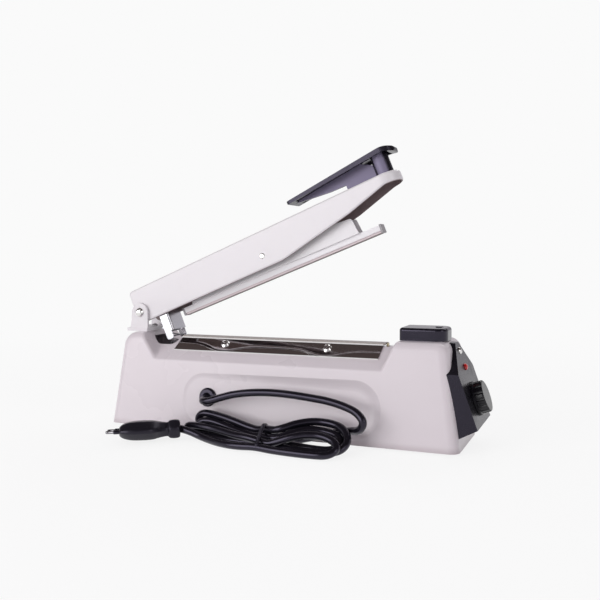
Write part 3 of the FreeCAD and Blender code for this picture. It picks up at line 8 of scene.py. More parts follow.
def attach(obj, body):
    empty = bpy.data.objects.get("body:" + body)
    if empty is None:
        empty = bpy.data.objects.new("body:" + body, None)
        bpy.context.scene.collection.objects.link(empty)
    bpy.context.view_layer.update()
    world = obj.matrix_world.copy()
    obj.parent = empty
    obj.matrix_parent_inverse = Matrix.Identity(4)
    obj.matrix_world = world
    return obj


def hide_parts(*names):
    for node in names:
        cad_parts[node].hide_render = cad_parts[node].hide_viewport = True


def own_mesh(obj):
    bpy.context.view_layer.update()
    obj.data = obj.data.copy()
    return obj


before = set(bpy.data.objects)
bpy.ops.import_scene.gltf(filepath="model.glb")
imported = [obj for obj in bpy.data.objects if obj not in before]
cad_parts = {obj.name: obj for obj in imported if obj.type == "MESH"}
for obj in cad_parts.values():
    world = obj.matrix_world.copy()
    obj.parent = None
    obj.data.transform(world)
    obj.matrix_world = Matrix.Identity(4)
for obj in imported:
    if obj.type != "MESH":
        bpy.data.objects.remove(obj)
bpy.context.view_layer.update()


# Camera.
# It stands in front of the sealer, to the right of its middle and a little above the bar,
# about 0.66 m away, with a normal lens.
camera_data = bpy.data.cameras.new("camera")
camera_data.sensor_width = 36
camera_data.lens = 751.7 / 600 * 36
camera = bpy.data.objects.new("camera", camera_data)
bpy.context.collection.objects.link(camera)
stand = Matrix.Translation((0.26243, -0.60934, 0.15762))
aim = Matrix.Rotation(math.radians(22.92), 4, "Z") @ Matrix.Rotation(math.radians(90 - 3.59), 4, "X")
camera.matrix_world = stand @ aim @ Matrix.Rotation(math.radians(-0.49), 4, "Z")
bpy.context.scene.camera = camera
bpy.context.scene.view_settings.view_transform = "Standard"


# Floor, backdrop and lights.
# The sealer stands on a white sweep in front of large soft lights, as for a catalogue picture.
# The sweep is the same pale white as the room's walls, and the ceiling above is dark brown,
# so that polished metal and gloss black look deep.
class Tone:
    """A socket of a finish's node tree. Sums and products of sockets add their own Math nodes."""

    def __init__(self, tree, socket=None):
        self.tree = tree
        self.socket = socket

    def node(self, kind, settings=None, inputs=None, output=0):
        made = self.tree.nodes.new("ShaderNode" + kind)
        for name, value in (settings or {}).items():
            setattr(made, name, value)
        for name, value in (inputs or {}).items():
            if isinstance(value, Tone):
                self.tree.links.new(value.socket, made.inputs[name])
            else:
                made.inputs[name].default_value = value
        return Tone(self.tree, made.outputs[output] if made.outputs else None)

    def math(self, operation, first, second=0.0):
        return self.node("Math", {"operation": operation}, {0: first, 1: second})

    def __add__(self, other):
        return self.math("ADD", self, other)

    __radd__ = __add__

    def __mul__(self, other):
        return self.math("MULTIPLY", self, other)

    __rmul__ = __mul__

    def __sub__(self, other):
        return self.math("SUBTRACT", self, other)

    def __rsub__(self, other):
        return self.math("SUBTRACT", other, self)

    def past(self, edge, width):
        """0 below edge and 1 above edge + width, with a smooth step between."""
        return self.node("MapRange", {"interpolation_type": "SMOOTHSTEP"},
                         {0: self, 1: edge, 2: edge + width, 3: 0.0, 4: 1.0})

    def mix(self, low, high):
        """A colour between low and high, with this socket as the share of high."""
        return self.node("Mix", {"data_type": "RGBA"}, {0: self, 6: low, 7: high}, 2)


sweep_white = (0.956, 0.956, 0.956, 1)
sweep_material = bpy.data.materials.new("white_sweep")
sweep_material.use_nodes = True
sweep_material.node_tree.nodes.clear()
start = Tone(sweep_material.node_tree)
shown = start.math("MAXIMUM", start.node("LightPath", output=0), start.node("LightPath", output=3))
shown = start.math("MAXIMUM", shown, start.node("LightPath", output=6))
paper = start.node("BsdfDiffuse", None, {"Color": (0.80, 0.80, 0.80, 1)})
faint = start.node("BsdfDiffuse", None, {"Color": (0.17, 0.17, 0.17, 1)})
glow = start.node("Emission", None, {"Color": sweep_white, "Strength": 0.87})
lit = start.node("AddShader", None, {0: faint, 1: glow})
reach = start.node("VectorMath", {"operation": "LENGTH"}, {0: start.node("TexCoord", output=3)}, 1)
wall = start.node("Emission", None, {"Color": sweep_white, "Strength": 1.0})
lit = start.node("MixShader", None, {0: reach.past(0.25, 0.75), 1: lit, 2: wall})
surface = start.node("MixShader", None, {0: shown, 1: paper, 2: lit})
start.node("OutputMaterial", None, {"Surface": surface})

sweep_mesh = bpy.data.meshes.new("sweep")
sweep_mesh.from_pydata([(-4, -4, 0), (4, -4, 0), (4, 4, 0), (-4, 4, 0)], [], [(0, 1, 2, 3)])
sweep_mesh.materials.append(sweep_material)
sweep = bpy.data.objects.new("sweep", sweep_mesh)
bpy.context.collection.objects.link(sweep)
sweep.location.z = -0.0002

world = bpy.data.worlds.new("studio")
bpy.context.scene.world = world
world.use_nodes = True
world.node_tree.nodes.clear()
air = Tone(world.node_tree)
height = air.node("SeparateXYZ", None, {0: air.node("TexCoord", output=0)}, 2)
ceiling = height.past(0.20, 0.30)
room = air.node("Background", None, {"Color": ceiling.mix((0.60, 0.59, 0.61, 1), (0.37, 0.36, 0.37, 1))})
mirrored = air.node("Background", None, {"Color": ceiling.mix((0.62, 0.60, 0.63, 1), (0.075, 0.058, 0.056, 1))})
paper_white = air.node("Background", None, {"Color": sweep_white})
in_glass = air.math("MAXIMUM", air.node("LightPath", output=3), air.node("LightPath", output=6))
around = air.node("MixShader", None, {0: in_glass, 1: room, 2: mirrored})
around = air.node("MixShader", None, {0: air.node("LightPath", output=0), 1: around, 2: paper_white})
air.node("OutputWorld", None, {"Surface": around})


def soft_light(name, place, target, size, power):
    lamp = bpy.data.lights.new(name, "AREA")
    lamp.shape = "RECTANGLE"
    lamp.size = size[0]
    lamp.size_y = size[1]
    lamp.energy = power
    holder = bpy.data.objects.new(name, lamp)
    bpy.context.collection.objects.link(holder)
    holder.location = place
    holder.rotation_euler = (Vector(target) - Vector(place)).to_track_quat("-Z", "Y").to_euler()
    holder.visible_camera = False
    return holder


soft_light("key_light", (-0.85, -1.5, 0.56), (0, 0, 0.1), (1.3, 1.15), 15)
soft_light("side_light", (1.7, -0.7, 0.8), (0, 0, 0.1), (0.7, 1.0), 4)
soft_light("back_light", (0.2, 1.4, 1.3), (0, 0, 0.1), (1.6, 0.6), 7)


# Housing.
# One injection-moulded shell of pale lilac-cream ABS with a fine satin surface. It is open
# below and has a hump at each end, a ridged roof between them and a shallow oval recess.
def finish(name, build):
    """A material whose tree is filled by build, which gives the shader's socket values."""
    material = bpy.data.materials.new(name)
    material.use_nodes = True
    tree = material.node_tree
    tree.nodes.clear()
    start = Tone(tree)
    place = start.node("TexCoord", output=3)
    start.node("OutputMaterial", None, {"Surface": start.node("BsdfPrincipled", None, build(start, place))})
    return material


def cloud(start, place, scale, detail=2.0, rough=0.5):
    return start.node("TexNoise", None, {"Vector": place, "Scale": scale, "Detail": detail, "Roughness": rough})


def relief(start, height, strength, depth, under=None):
    inputs = {"Height": height, "Strength": strength, "Distance": depth}
    if under:
        inputs["Normal"] = under
    return start.node("Bump", None, inputs)


def along(start, place, axis):
    """How far a point lies along x, y or z (0, 1 or 2), in metres."""
    return start.node("SeparateXYZ", None, {0: place}, axis)


def stretched(start, place, scale):
    """Coordinates stretched by a different amount each way, for brushed and drawn surfaces."""
    return start.node("Mapping", None, {"Vector": place, "Scale": scale})


def lilac_cream_abs(start, place):
    tint = cloud(start, place, 7.0, 3.0)
    blotch = cloud(start, place, 42.0, 2.0).past(0.45, 0.5)
    spark = cloud(start, place, 1500.0, 2.0, 0.6)
    flow = cloud(start, stretched(start, place, (14, 90, 160)), 1.0, 2.0)
    height = along(start, place, 2)
    # The bottom few millimetres are darkened: painted shade where the housing meets the floor.
    painted_floor_shade = 1 - height.past(0.0015, 0.006)
    color = tint.mix((0.735, 0.665, 0.705, 1), (0.775, 0.710, 0.750, 1))
    color = (blotch * 0.07).mix(color, (0.640, 0.570, 0.590, 1))
    color = (painted_floor_shade * 0.55).mix(color, (0.470, 0.395, 0.420, 1))
    normal = relief(start, spark, 0.16, 0.0002, relief(start, flow, 0.05, 0.0006))
    return {"Base Color": color, "Roughness": tint * 0.10 + blotch * 0.03 + 0.23, "Normal": normal,
            "Specular IOR Level": 0.45}


def dress(node, material):
    """Gives a CAD node its finish."""
    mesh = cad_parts[node].data
    mesh.materials.clear()
    mesh.materials.append(material)


dress("housing_shell", finish("lilac_cream_abs", lilac_cream_abs))


# Base plate, feet and their screws.
# Galvanised sheet steel with a faint crystal pattern closes the housing below. Four screws go
# up through black rubber feet and the plate into posts of the housing.
def galvanised_steel(start, place):
    crystals = start.node("TexVoronoi", {"feature": "F1"}, {"Vector": place, "Scale": 190.0}, 1)
    share = start.node("SeparateColor", None, {0: crystals})
    drawn = cloud(start, stretched(start, place, (30, 900, 900)), 1.0, 2.0)
    color = share.mix((0.36, 0.37, 0.39, 1), (0.56, 0.56, 0.57, 1))
    return {"Base Color": color, "Metallic": 1.0, "Roughness": share * 0.16 + drawn * 0.1 + 0.26,
            "Normal": relief(start, drawn, 0.1, 0.0002)}


def dull_rubber(start, place):
    bloom = cloud(start, place, 160.0, 4.0)
    pores = cloud(start, place, 2600.0, 1.0)
    color = bloom.past(0.5, 0.3).mix((0.008, 0.008, 0.009, 1), (0.024, 0.023, 0.024, 1))
    return {"Base Color": color, "Roughness": bloom * 0.2 + 0.62, "Normal": relief(start, pores, 0.3, 0.0002)}


def zinc_screw(start, place):
    stain = cloud(start, place, 420.0, 3.0)
    color = stain.mix((0.42, 0.43, 0.45, 1), (0.62, 0.62, 0.62, 1))
    return {"Base Color": color, "Metallic": 1.0, "Roughness": stain * 0.2 + 0.22,
            "Normal": relief(start, stain, 0.1, 0.0001)}


dress("base_plate", finish("galvanised_steel", galvanised_steel))
dress("rubber_feet", finish("dull_rubber", dull_rubber))
zinc = finish("zinc_screw", zinc_screw)
dress("base_screws", zinc)


# Transformer.
# A stack of thin varnished steel sheets around a bobbin wound with enamelled copper wire under
# yellow tape, held to the base plate by two long screws.
def stacked_sheets(start, place):
    layers = start.node("TexWave", {"bands_direction": "Y", "wave_profile": "TRI"},
                        {"Vector": place, "Scale": 260.0, "Distortion": 0.4, "Detail": 1.0})
    rust = cloud(start, place, 130.0, 4.0).past(0.56, 0.2)
    color = layers.mix((0.055, 0.058, 0.066, 1), (0.17, 0.17, 0.185, 1))
    color = (rust * 0.6).mix(color, (0.20, 0.09, 0.045, 1))
    return {"Base Color": color, "Metallic": 0.55, "Roughness": rust * 0.3 + 0.38,
            "Normal": relief(start, layers, 0.5, 0.0003)}


def wound_copper(start, place):
    turns = start.node("TexWave", {"bands_direction": "X", "wave_profile": "SIN"},
                       {"Vector": place, "Scale": 420.0, "Distortion": 0.6, "Detail": 1.0})
    height = along(start, place, 2)
    tape = height.past(0.020, 0.0008) * (1 - height.past(0.0325, 0.0008))
    wire = turns.mix((0.16, 0.045, 0.016, 1), (0.60, 0.23, 0.09, 1))
    creases = cloud(start, place, 240.0, 3.0)
    color = tape.mix(wire, creases.mix((0.62, 0.43, 0.04, 1), (0.78, 0.58, 0.08, 1)))
    return {"Base Color": color, "Metallic": (1 - tape) * 0.7, "Roughness": tape * 0.2 + 0.28,
            "Normal": relief(start, turns * (1 - tape) + creases * tape, 0.5, 0.0002)}


dress("transformer_core", finish("stacked_sheets", stacked_sheets))
dress("transformer_coil", finish("wound_copper", wound_copper))
dress("transformer_screws", zinc)


# Timer board, relay and potentiometer.
# A green circuit board stands behind the control panel and carries the relay. The
# potentiometer is held in the panel by its nut, and its shaft goes out to the dial.
def green_board(start, place):
    tracks = start.node("TexBrick", {"offset": 0.3}, {"Vector": stretched(start, place, (1, 190, 190)),
                        "Color1": (1, 1, 1, 1), "Color2": (1, 1, 1, 1), "Mortar": (0, 0, 0, 1),
                        "Scale": 1.0, "Mortar Size": 0.07}, 0)
    weave = cloud(start, place, 900.0, 2.0)
    share = start.node("SeparateColor", None, {0: tracks})
    color = share.mix((0.03, 0.20, 0.07, 1), (0.008, 0.085, 0.030, 1))
    return {"Base Color": color, "Roughness": weave * 0.15 + 0.2,
            "Normal": relief(start, share * 0.7 + weave * 0.3, 0.4, 0.0001)}


def blue_relay_case(start, place):
    spark = cloud(start, place, 1300.0, 2.0)
    tint = cloud(start, place, 120.0, 2.0)
    return {"Base Color": tint.mix((0.010, 0.045, 0.17, 1), (0.018, 0.065, 0.22, 1)),
            "Roughness": tint * 0.1 + 0.35, "Normal": relief(start, spark, 0.15, 0.0002)}


dress("timer_board", finish("green_board", green_board))
dress("timer_relay", finish("blue_relay_case", blue_relay_case))
for node in ("potentiometer", "potentiometer_nut", "potentiometer_shaft"):
    dress(node, zinc)


# Sealing rail with its heating strip and cover.
# An aluminium rail lies along the ridge. A flat resistance strip runs over its insulating
# film between two sprung terminals, under a strip of brown-grey non-stick glass cloth.
def drawn_aluminium(start, place):
    drawn = cloud(start, stretched(start, place, (18, 1600, 1600)), 1.0, 3.0)
    return {"Base Color": drawn.mix((0.50, 0.50, 0.52, 1), (0.70, 0.70, 0.71, 1)), "Metallic": 1.0,
            "Roughness": drawn * 0.15 + 0.22, "Normal": relief(start, drawn, 0.12, 0.0001)}


def resistance_strip(start, place):
    heat = cloud(start, place, 70.0, 3.0)
    return {"Base Color": heat.mix((0.25, 0.22, 0.20, 1), (0.42, 0.37, 0.33, 1)), "Metallic": 1.0,
            "Roughness": heat * 0.2 + 0.35}


def non_stick_cloth(start, place):
    warp = start.node("TexWave", {"bands_direction": "X"}, {"Vector": place, "Scale": 420.0})
    weft = start.node("TexWave", {"bands_direction": "Y"}, {"Vector": place, "Scale": 420.0})
    shade = cloud(start, place, 50.0, 3.0)
    near_strip = along(start, place, 1)
    scorch = (1 - start.math("ABSOLUTE", near_strip).past(0.0009, 0.0016)) * shade
    color = shade.mix((0.30, 0.255, 0.235, 1), (0.40, 0.345, 0.320, 1))
    color = (scorch * 0.6).mix(color, (0.11, 0.07, 0.05, 1))
    return {"Base Color": color, "Roughness": warp * weft * 0.15 + 0.28,
            "Normal": relief(start, warp * weft, 0.3, 0.00015), "Coat Weight": 0.15}


def amber_film(start, place):
    creases = cloud(start, place, 110.0, 3.0)
    return {"Base Color": creases.mix((0.36, 0.13, 0.02, 1), (0.50, 0.20, 0.04, 1)),
            "Roughness": creases * 0.15 + 0.18, "Normal": relief(start, creases, 0.1, 0.0001)}


def nickel_brass(start, place):
    stain = cloud(start, place, 300.0, 3.0)
    return {"Base Color": stain.mix((0.56, 0.46, 0.27, 1), (0.68, 0.60, 0.42, 1)), "Metallic": 1.0,
            "Roughness": stain * 0.18 + 0.22}


dress("seal_rail", finish("drawn_aluminium", drawn_aluminium))
dress("heating_element", finish("resistance_strip", resistance_strip))
dress("ptfe_cover", finish("non_stick_cloth", non_stick_cloth))
dress("element_backing_film", finish("amber_film", amber_film))
dress("element_terminals", finish("nickel_brass", nickel_brass))


# Clamp plates and their screws.
# Two strips of polished stainless steel hold the cover's edges down on the ridge's slopes,
# each with two large domed screws of bright nickel. Between the screws the lower edge bows.
clamp_top_edge = 0.0046
clamp_slope_stretch = 1.22
clamp_screw_places = (-0.064, 0.0345)


def mirror_stainless(start, place):
    polish = cloud(start, stretched(start, place, (60, 700, 700)), 1.0, 3.0)
    down = (start.math("ABSOLUTE", along(start, place, 1)) - clamp_top_edge) * clamp_slope_stretch
    x = along(start, place, 0)
    held = 0.0
    for screw in clamp_screw_places:
        near = (x - screw) * 55.0
        held = start.math("EXPONENT", near * near * -1.0) + held
    free = start.math("MAXIMUM", down - held * 0.0095 - x.past(-0.100, 0.045) * 0.0040 - 0.0035, 0.0)
    bowed = free * free * -19.0
    smear = cloud(start, place, 70.0, 4.0).past(0.5, 0.3)
    return {"Base Color": smear.mix((0.70, 0.68, 0.685, 1), (0.63, 0.605, 0.615, 1)), "Metallic": 1.0,
            "Roughness": polish * 0.05 + smear * 0.05 + 0.04,
            "Normal": relief(start, bowed, 1.0, 1.0, relief(start, polish, 0.03, 0.0001))}


def bright_nickel(start, place):
    stain = cloud(start, place, 240.0, 3.0)
    return {"Base Color": stain.mix((0.70, 0.69, 0.68, 1), (0.84, 0.83, 0.82, 1)), "Metallic": 1.0,
            "Roughness": stain * 0.10 + 0.07, "Normal": relief(start, stain, 0.04, 0.0001)}


mirror = finish("mirror_stainless", mirror_stainless)
nickel = finish("bright_nickel", bright_nickel)
dress("clamp_plate_near", mirror)
dress("clamp_plate_far", mirror)
dress("clamp_screws", nickel)


# Hinge bracket with its bolt and nut.
# A pressed steel bracket in the arm's pale enamel is screwed to the rear hump. A plated bolt
# through its two ears is the arm's hinge.
def pale_enamel(start, place):
    tint = cloud(start, place, 12.0, 2.0)
    peel = cloud(start, place, 330.0, 2.0)
    dust = cloud(start, place, 75.0, 4.0).past(0.55, 0.25)
    color = tint.mix((0.775, 0.735, 0.765, 1), (0.815, 0.780, 0.810, 1))
    color = (dust * 0.12).mix(color, (0.66, 0.60, 0.61, 1))
    return {"Base Color": color, "Roughness": tint * 0.08 + dust * 0.08 + 0.24,
            "Normal": relief(start, peel, 0.06, 0.0004), "Coat Weight": 0.25, "Coat Roughness": 0.12}


enamel = finish("pale_enamel", pale_enamel)
dress("hinge_bracket", enamel)
dress("hinge_bolt", nickel)
dress("hinge_nut", zinc)
dress("hinge_bracket_screws", zinc)


# Arm.
# A long channel of folded sheet steel with a rounded nose, open below. Its inside faces are
# given a dull brown-grey colour, which is painted shade for the dark inside of the channel.
arm_inner_half_width = 0.0148
open_arm_sine, open_arm_cosine = 0.374, 0.927


def arm_enamel(start, place):
    tint = cloud(start, place, 12.0, 2.0)
    peel = cloud(start, place, 330.0, 2.0)
    dust = cloud(start, place, 75.0, 4.0).past(0.55, 0.25)
    across = along(start, place, 1)
    side = start.math("SIGN", across)
    faces = start.node("TexCoord", output=1)
    turned = along(start, faces, 1)
    inward = (turned * side * -1.0).past(0.35, 0.3)
    down = (along(start, faces, 2) * -open_arm_cosine + along(start, faces, 0) * open_arm_sine).past(0.55, 0.3)
    deep = 1 - start.math("ABSOLUTE", across).past(arm_inner_half_width, 0.0003)
    inside = start.math("MAXIMUM", inward, down) * deep
    outer = tint.mix((0.775, 0.735, 0.765, 1), (0.815, 0.780, 0.810, 1))
    outer = (dust * 0.12).mix(outer, (0.66, 0.60, 0.61, 1))
    # The inside faces take a dark brown-grey: painted shade for the shadow inside the channel.
    painted_inner_shade = tint.mix((0.185, 0.135, 0.140, 1), (0.250, 0.190, 0.195, 1))
    return {"Base Color": inside.mix(outer, painted_inner_shade), "Roughness": inside * 0.25 + tint * 0.08 + 0.26,
            "Normal": relief(start, peel, 0.06, 0.0004), "Coat Weight": (1 - inside) * 0.25}


dress("arm_channel", finish("arm_enamel", arm_enamel))


# Handle.
# A black ABS grip with a rounded end that stands over the arm's end on a web and a boss. The
# web's flat side faces are painted a lighter violet-grey, a painted reflection of the lights. Two screws fasten it from
# below.
def black_satin_abs(start, place):
    tint = cloud(start, place, 26.0, 3.0)
    spark = cloud(start, place, 1400.0, 2.0)
    rubbed = cloud(start, place, 95.0, 4.0).past(0.5, 0.3)
    color = tint.mix((0.0050, 0.0045, 0.0070, 1), (0.0105, 0.0095, 0.0140, 1))
    return {"Base Color": color, "Roughness": tint * 0.08 + rubbed * 0.07 + 0.22,
            "Normal": relief(start, spark, 0.12, 0.0002), "Specular IOR Level": 0.5,
            "Specular Tint": (0.82, 0.75, 1.0, 1)}


satin_black = finish("black_satin_abs", black_satin_abs)
web_zone_half_width = 0.0085


def grip_abs(start, place):
    made = black_satin_abs(start, place)
    faces = start.node("TexCoord", output=1)
    across = start.math("ABSOLUTE", along(start, place, 1))
    # The web's flat side faces are painted lighter violet-grey: a painted reflection of the lights.
    painted_web_sheen = (1 - across.past(web_zone_half_width, 0.0010)) * start.math("ABSOLUTE", along(start, faces, 1)).past(0.7, 0.2)
    made["Base Color"] = (painted_web_sheen * 0.95).mix(made["Base Color"], (0.230, 0.205, 0.300, 1))
    made["Roughness"] = made["Roughness"] + painted_web_sheen * 0.1
    return made


dress("handle", finish("grip_abs", grip_abs))
dress("handle_screws", zinc)


# Bar carrier and pressure bar.
# A white-enamelled channel hangs on a pin inside the arm. The pressure bar is screwed in it,
# and holds a strip of pink silicone rubber between two grey end caps; the strip's face that looks down is painted dark
# brown as painted shade.
def white_enamel(start, place):
    tint = cloud(start, place, 18.0, 2.0)
    peel = cloud(start, place, 420.0, 2.0)
    return {"Base Color": tint.mix((0.86, 0.83, 0.86, 1), (0.89, 0.865, 0.89, 1)),
            "Roughness": tint * 0.1 + 0.28, "Normal": relief(start, peel, 0.05, 0.0003)}


def silicone_rubber(start, place):
    tint = cloud(start, place, 120.0, 3.0)
    faces = start.node("TexCoord", output=1)
    # The face that looks down is painted dark brown: painted shade under the bar.
    painted_underside_shade = (along(start, faces, 0) * open_arm_sine - along(start, faces, 2) * open_arm_cosine).past(0.6, 0.2)
    sides = tint.mix((0.66, 0.56, 0.58, 1), (0.74, 0.65, 0.67, 1))
    return {"Base Color": painted_underside_shade.mix(sides, tint.mix((0.100, 0.068, 0.062, 1), (0.150, 0.105, 0.098, 1))),
            "Roughness": tint * 0.15 + 0.42, "Normal": relief(start, tint, 0.15, 0.0002)}


def grey_plastic(start, place):
    tint = cloud(start, place, 90.0, 3.0)
    spark = cloud(start, place, 1500.0, 1.0)
    return {"Base Color": tint.mix((0.33, 0.31, 0.33, 1), (0.40, 0.385, 0.40, 1)),
            "Roughness": tint * 0.1 + 0.38, "Normal": relief(start, spark, 0.15, 0.0002)}


white = finish("white_enamel", white_enamel)
grey = finish("grey_plastic", grey_plastic)
dress("bar_carrier", white)
dress("pressure_bar", white)
dress("silicone_strip", finish("silicone_rubber", silicone_rubber))
dress("bar_cap_front", grey)
dress("bar_cap_rear", grey)
dress("bar_screws", zinc)
dress("carrier_pin", nickel)


# Spring bracket and return spring.
# A folded bracket under the arm's rear end holds the top of a wire spring, which stands in a
# moulded seat on the base plate and lifts the arm.
def spring_wire(start, place):
    oil = cloud(start, place, 160.0, 3.0)
    return {"Base Color": oil.mix((0.20, 0.20, 0.22, 1), (0.36, 0.36, 0.38, 1)), "Metallic": 1.0,
            "Roughness": oil * 0.15 + 0.2}


def blue_zinc(start, place):
    stain = cloud(start, place, 60.0, 4.0)
    drawn = cloud(start, stretched(start, place, (60, 60, 900)), 1.0, 2.0)
    return {"Base Color": stain.mix((0.70, 0.71, 0.76, 1), (0.84, 0.84, 0.87, 1)), "Metallic": 1.0,
            "Roughness": stain * 0.08 + drawn * 0.05 + 0.16, "Normal": relief(start, drawn, 0.05, 0.0001)}


class Growth:
    """A Geometry Nodes tree with named inputs, closed by Realize Instances and Set Material."""

    def __init__(self, name, inputs):
        self.tree = bpy.data.node_groups.new(name, "GeometryNodeTree")
        for label, kind in {"Geometry": "Geometry", "Material": "Material", **inputs}.items():
            self.tree.interface.new_socket(label, in_out="INPUT", socket_type="NodeSocket" + kind)
        self.tree.interface.new_socket("Geometry", in_out="OUTPUT", socket_type="NodeSocketGeometry")
        self.given = self.tree.nodes.new("NodeGroupInput").outputs

    def add(self, kind, inputs, **settings):
        """A new node. A value for a socket is a number, another node, a socket or a list of them."""
        made = self.tree.nodes.new(kind)
        for name, value in settings.items():
            setattr(made, name, value)
        for name, value in inputs.items():
            for item in value if isinstance(value, list) else [value]:
                if isinstance(item, bpy.types.Node):
                    item = item.outputs[0]
                if isinstance(item, bpy.types.NodeSocket):
                    self.tree.links.new(item, made.inputs[name])
                else:
                    made.inputs[name].default_value = item
        return made

    def close(self, *pieces):
        joined = self.add("GeometryNodeJoinGeometry", {"Geometry": list(pieces)})
        real = self.add("GeometryNodeRealizeInstances", {"Geometry": joined})
        painted = self.add("GeometryNodeSetMaterial", {"Geometry": real, "Material": self.given["Material"]})
        self.add("NodeGroupOutput", {0: painted})
        return self.tree


def coil_tree():
    """Winds a round wire into a compression spring with a closed ring at each end."""
    growth = Growth("wound_spring", {"Turns": "Float", "Radius": "Float", "Height": "Float", "Wire": "Float",
                                     "Foot": "Vector"})
    given = growth.given
    helix = growth.add("GeometryNodeCurveSpiral", {
        "Resolution": 28, "Rotations": given["Turns"], "Start Radius": given["Radius"],
        "End Radius": given["Radius"], "Height": given["Height"]})
    section = growth.add("GeometryNodeCurvePrimitiveCircle", {"Resolution": 10, "Radius": given["Wire"]})
    wire = growth.add("GeometryNodeCurveToMesh", {"Curve": helix, "Profile Curve": section, "Fill Caps": True})
    circle = growth.add("GeometryNodeCurvePrimitiveCircle", {"Resolution": 40, "Radius": given["Radius"]})
    low_ring = growth.add("GeometryNodeCurveToMesh", {"Curve": circle, "Profile Curve": section})
    lift = growth.add("ShaderNodeCombineXYZ", {"Z": given["Height"]})
    high_ring = growth.add("GeometryNodeTransform", {"Geometry": low_ring, "Translation": lift})
    stood = [growth.add("GeometryNodeTransform", {"Geometry": piece, "Translation": given["Foot"]})
             for piece in (wire, low_ring, high_ring)]
    return growth.close(*stood)


def grown(holder, tree, name, values):
    """A plain mesh object from a holder that a node tree fills, with its inputs set by name."""
    modifier = holder.modifiers.new("grown", "NODES")
    modifier.node_group = tree
    for item in tree.interface.items_tree:
        if item.in_out == "INPUT" and item.name in values:
            modifier[item.identifier] = values[item.name]
    shown = holder.evaluated_get(bpy.context.evaluated_depsgraph_get())
    mesh = bpy.data.meshes.new_from_object(shown)
    holder.modifiers.remove(modifier)
    bpy.data.objects.remove(holder)
    for face in mesh.polygons:
        face.use_smooth = True
    made = bpy.data.objects.new(name, mesh)
    bpy.context.collection.objects.link(made)
    return made


def wound_spring(name, foot, height, radius, wire, turns, material):
    holder = bpy.data.objects.new(name + "_holder", bpy.data.meshes.new(name + "_holder"))
    bpy.context.collection.objects.link(holder)
    return grown(holder, spring_winding, name, {"Turns": turns, "Radius": radius, "Height": height, "Wire": wire,
                                                "Foot": foot, "Material": material})


spring_winding = coil_tree()
dress("spring_bracket", finish("blue_zinc", blue_zinc))
dress("spring_seat", grey)
lift_spring = wound_spring("lift_spring", (-0.1242, 0, 0.0401), 0.0467, 0.0044, 0.0006, 9.0,
                           finish("spring_wire", spring_wire))
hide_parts("return_spring")
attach(lift_spring, "housing")
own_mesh(lift_spring)


# Switch block.
# A glossy black ABS block on the front hump guides the switch's button, which the arm presses.
# The button's spring, the micro switch and its bracket are below, in the hump.
def black_gloss_abs(start, place):
    tint = cloud(start, place, 30.0, 3.0)
    haze = cloud(start, place, 130.0, 4.0).past(0.48, 0.35)
    return {"Base Color": tint.mix((0.0050, 0.0045, 0.0075, 1), (0.0100, 0.0090, 0.0150, 1)),
            "Roughness": haze * 0.10 + 0.12, "Normal": relief(start, tint, 0.05, 0.0010),
            "Specular IOR Level": 0.5, "Specular Tint": (0.82, 0.75, 1.0, 1)}


gloss_black = finish("black_gloss_abs", black_gloss_abs)
dress("switch_block", gloss_black)
dress("switch_plunger", satin_black)
dress("micro_switch", satin_black)
button_spring = wound_spring("button_spring", (0.1287, 0, 0.0858), 0.0044, 0.0040, 0.0003, 3.0, zinc)
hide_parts("plunger_spring")
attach(button_spring, "housing")
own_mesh(button_spring)
dress("block_screws", zinc)
dress("switch_bracket", zinc)


# Control panel, lamp and dial.
# A moulded cover of black ABS with a rolled top edge closes the front end. It carries the red
# lamp above the timer's round dial, whose knob's front face is painted a lighter grey as a painted reflection.
def panel_abs(start, place):
    tint = cloud(start, place, 34.0, 3.0)
    smudge = cloud(start, place, 85.0, 4.0).past(0.5, 0.28)
    spark = cloud(start, place, 1400.0, 2.0)
    return {"Base Color": tint.mix((0.0060, 0.0055, 0.0080, 1), (0.0120, 0.0110, 0.0160, 1)),
            "Roughness": smudge * 0.14 + tint * 0.06 + 0.22, "Normal": relief(start, spark, 0.1, 0.0002),
            "Specular IOR Level": 0.42, "Specular Tint": (0.82, 0.75, 1.0, 1)}


def red_lens(start, place):
    grain = cloud(start, place, 500.0, 2.0)
    across = along(start, place, 1)
    # The lens centre is painted a brighter red: a painted glow of the lamp.
    painted_lamp_glow = 1 - start.math("ABSOLUTE", across).past(0.0008, 0.0022)
    return {"Base Color": painted_lamp_glow.mix((0.45, 0.006, 0.008, 1), (0.85, 0.020, 0.016, 1)),
            "Roughness": grain * 0.1 + 0.1, "Coat Weight": 0.5, "Normal": relief(start, grain, 0.08, 0.0001)}


knob_axis = (0.943423, 0.0, 0.331592)
knob_face_starts = 0.17225


def dial_knob(start, place):
    tint = cloud(start, place, 60.0, 3.0)
    out = along(start, place, 0) * knob_axis[0] + along(start, place, 2) * knob_axis[2]
    face = out.past(knob_face_starts, 0.0006)
    ringed = cloud(start, place, 700.0)
    body = tint.mix((0.0050, 0.0045, 0.0070, 1), (0.0100, 0.0090, 0.0130, 1))
    # The knob's front face is painted lighter violet-grey: a painted reflection of the lights.
    painted_face_sheen = tint.mix((0.085, 0.080, 0.105, 1), (0.125, 0.120, 0.150, 1))
    return {"Base Color": face.mix(body, painted_face_sheen), "Metallic": face * 0.3, "Roughness": face * 0.15 + tint * 0.06 + 0.2,
            "Normal": relief(start, ringed, 0.12, 0.0002), "Specular IOR Level": 0.36}


dress("control_panel", finish("panel_abs", panel_abs))
dress("panel_screws", nickel)
dress("indicator_lens", finish("red_lens", red_lens))
dress("timer_knob", finish("dial_knob", dial_knob))


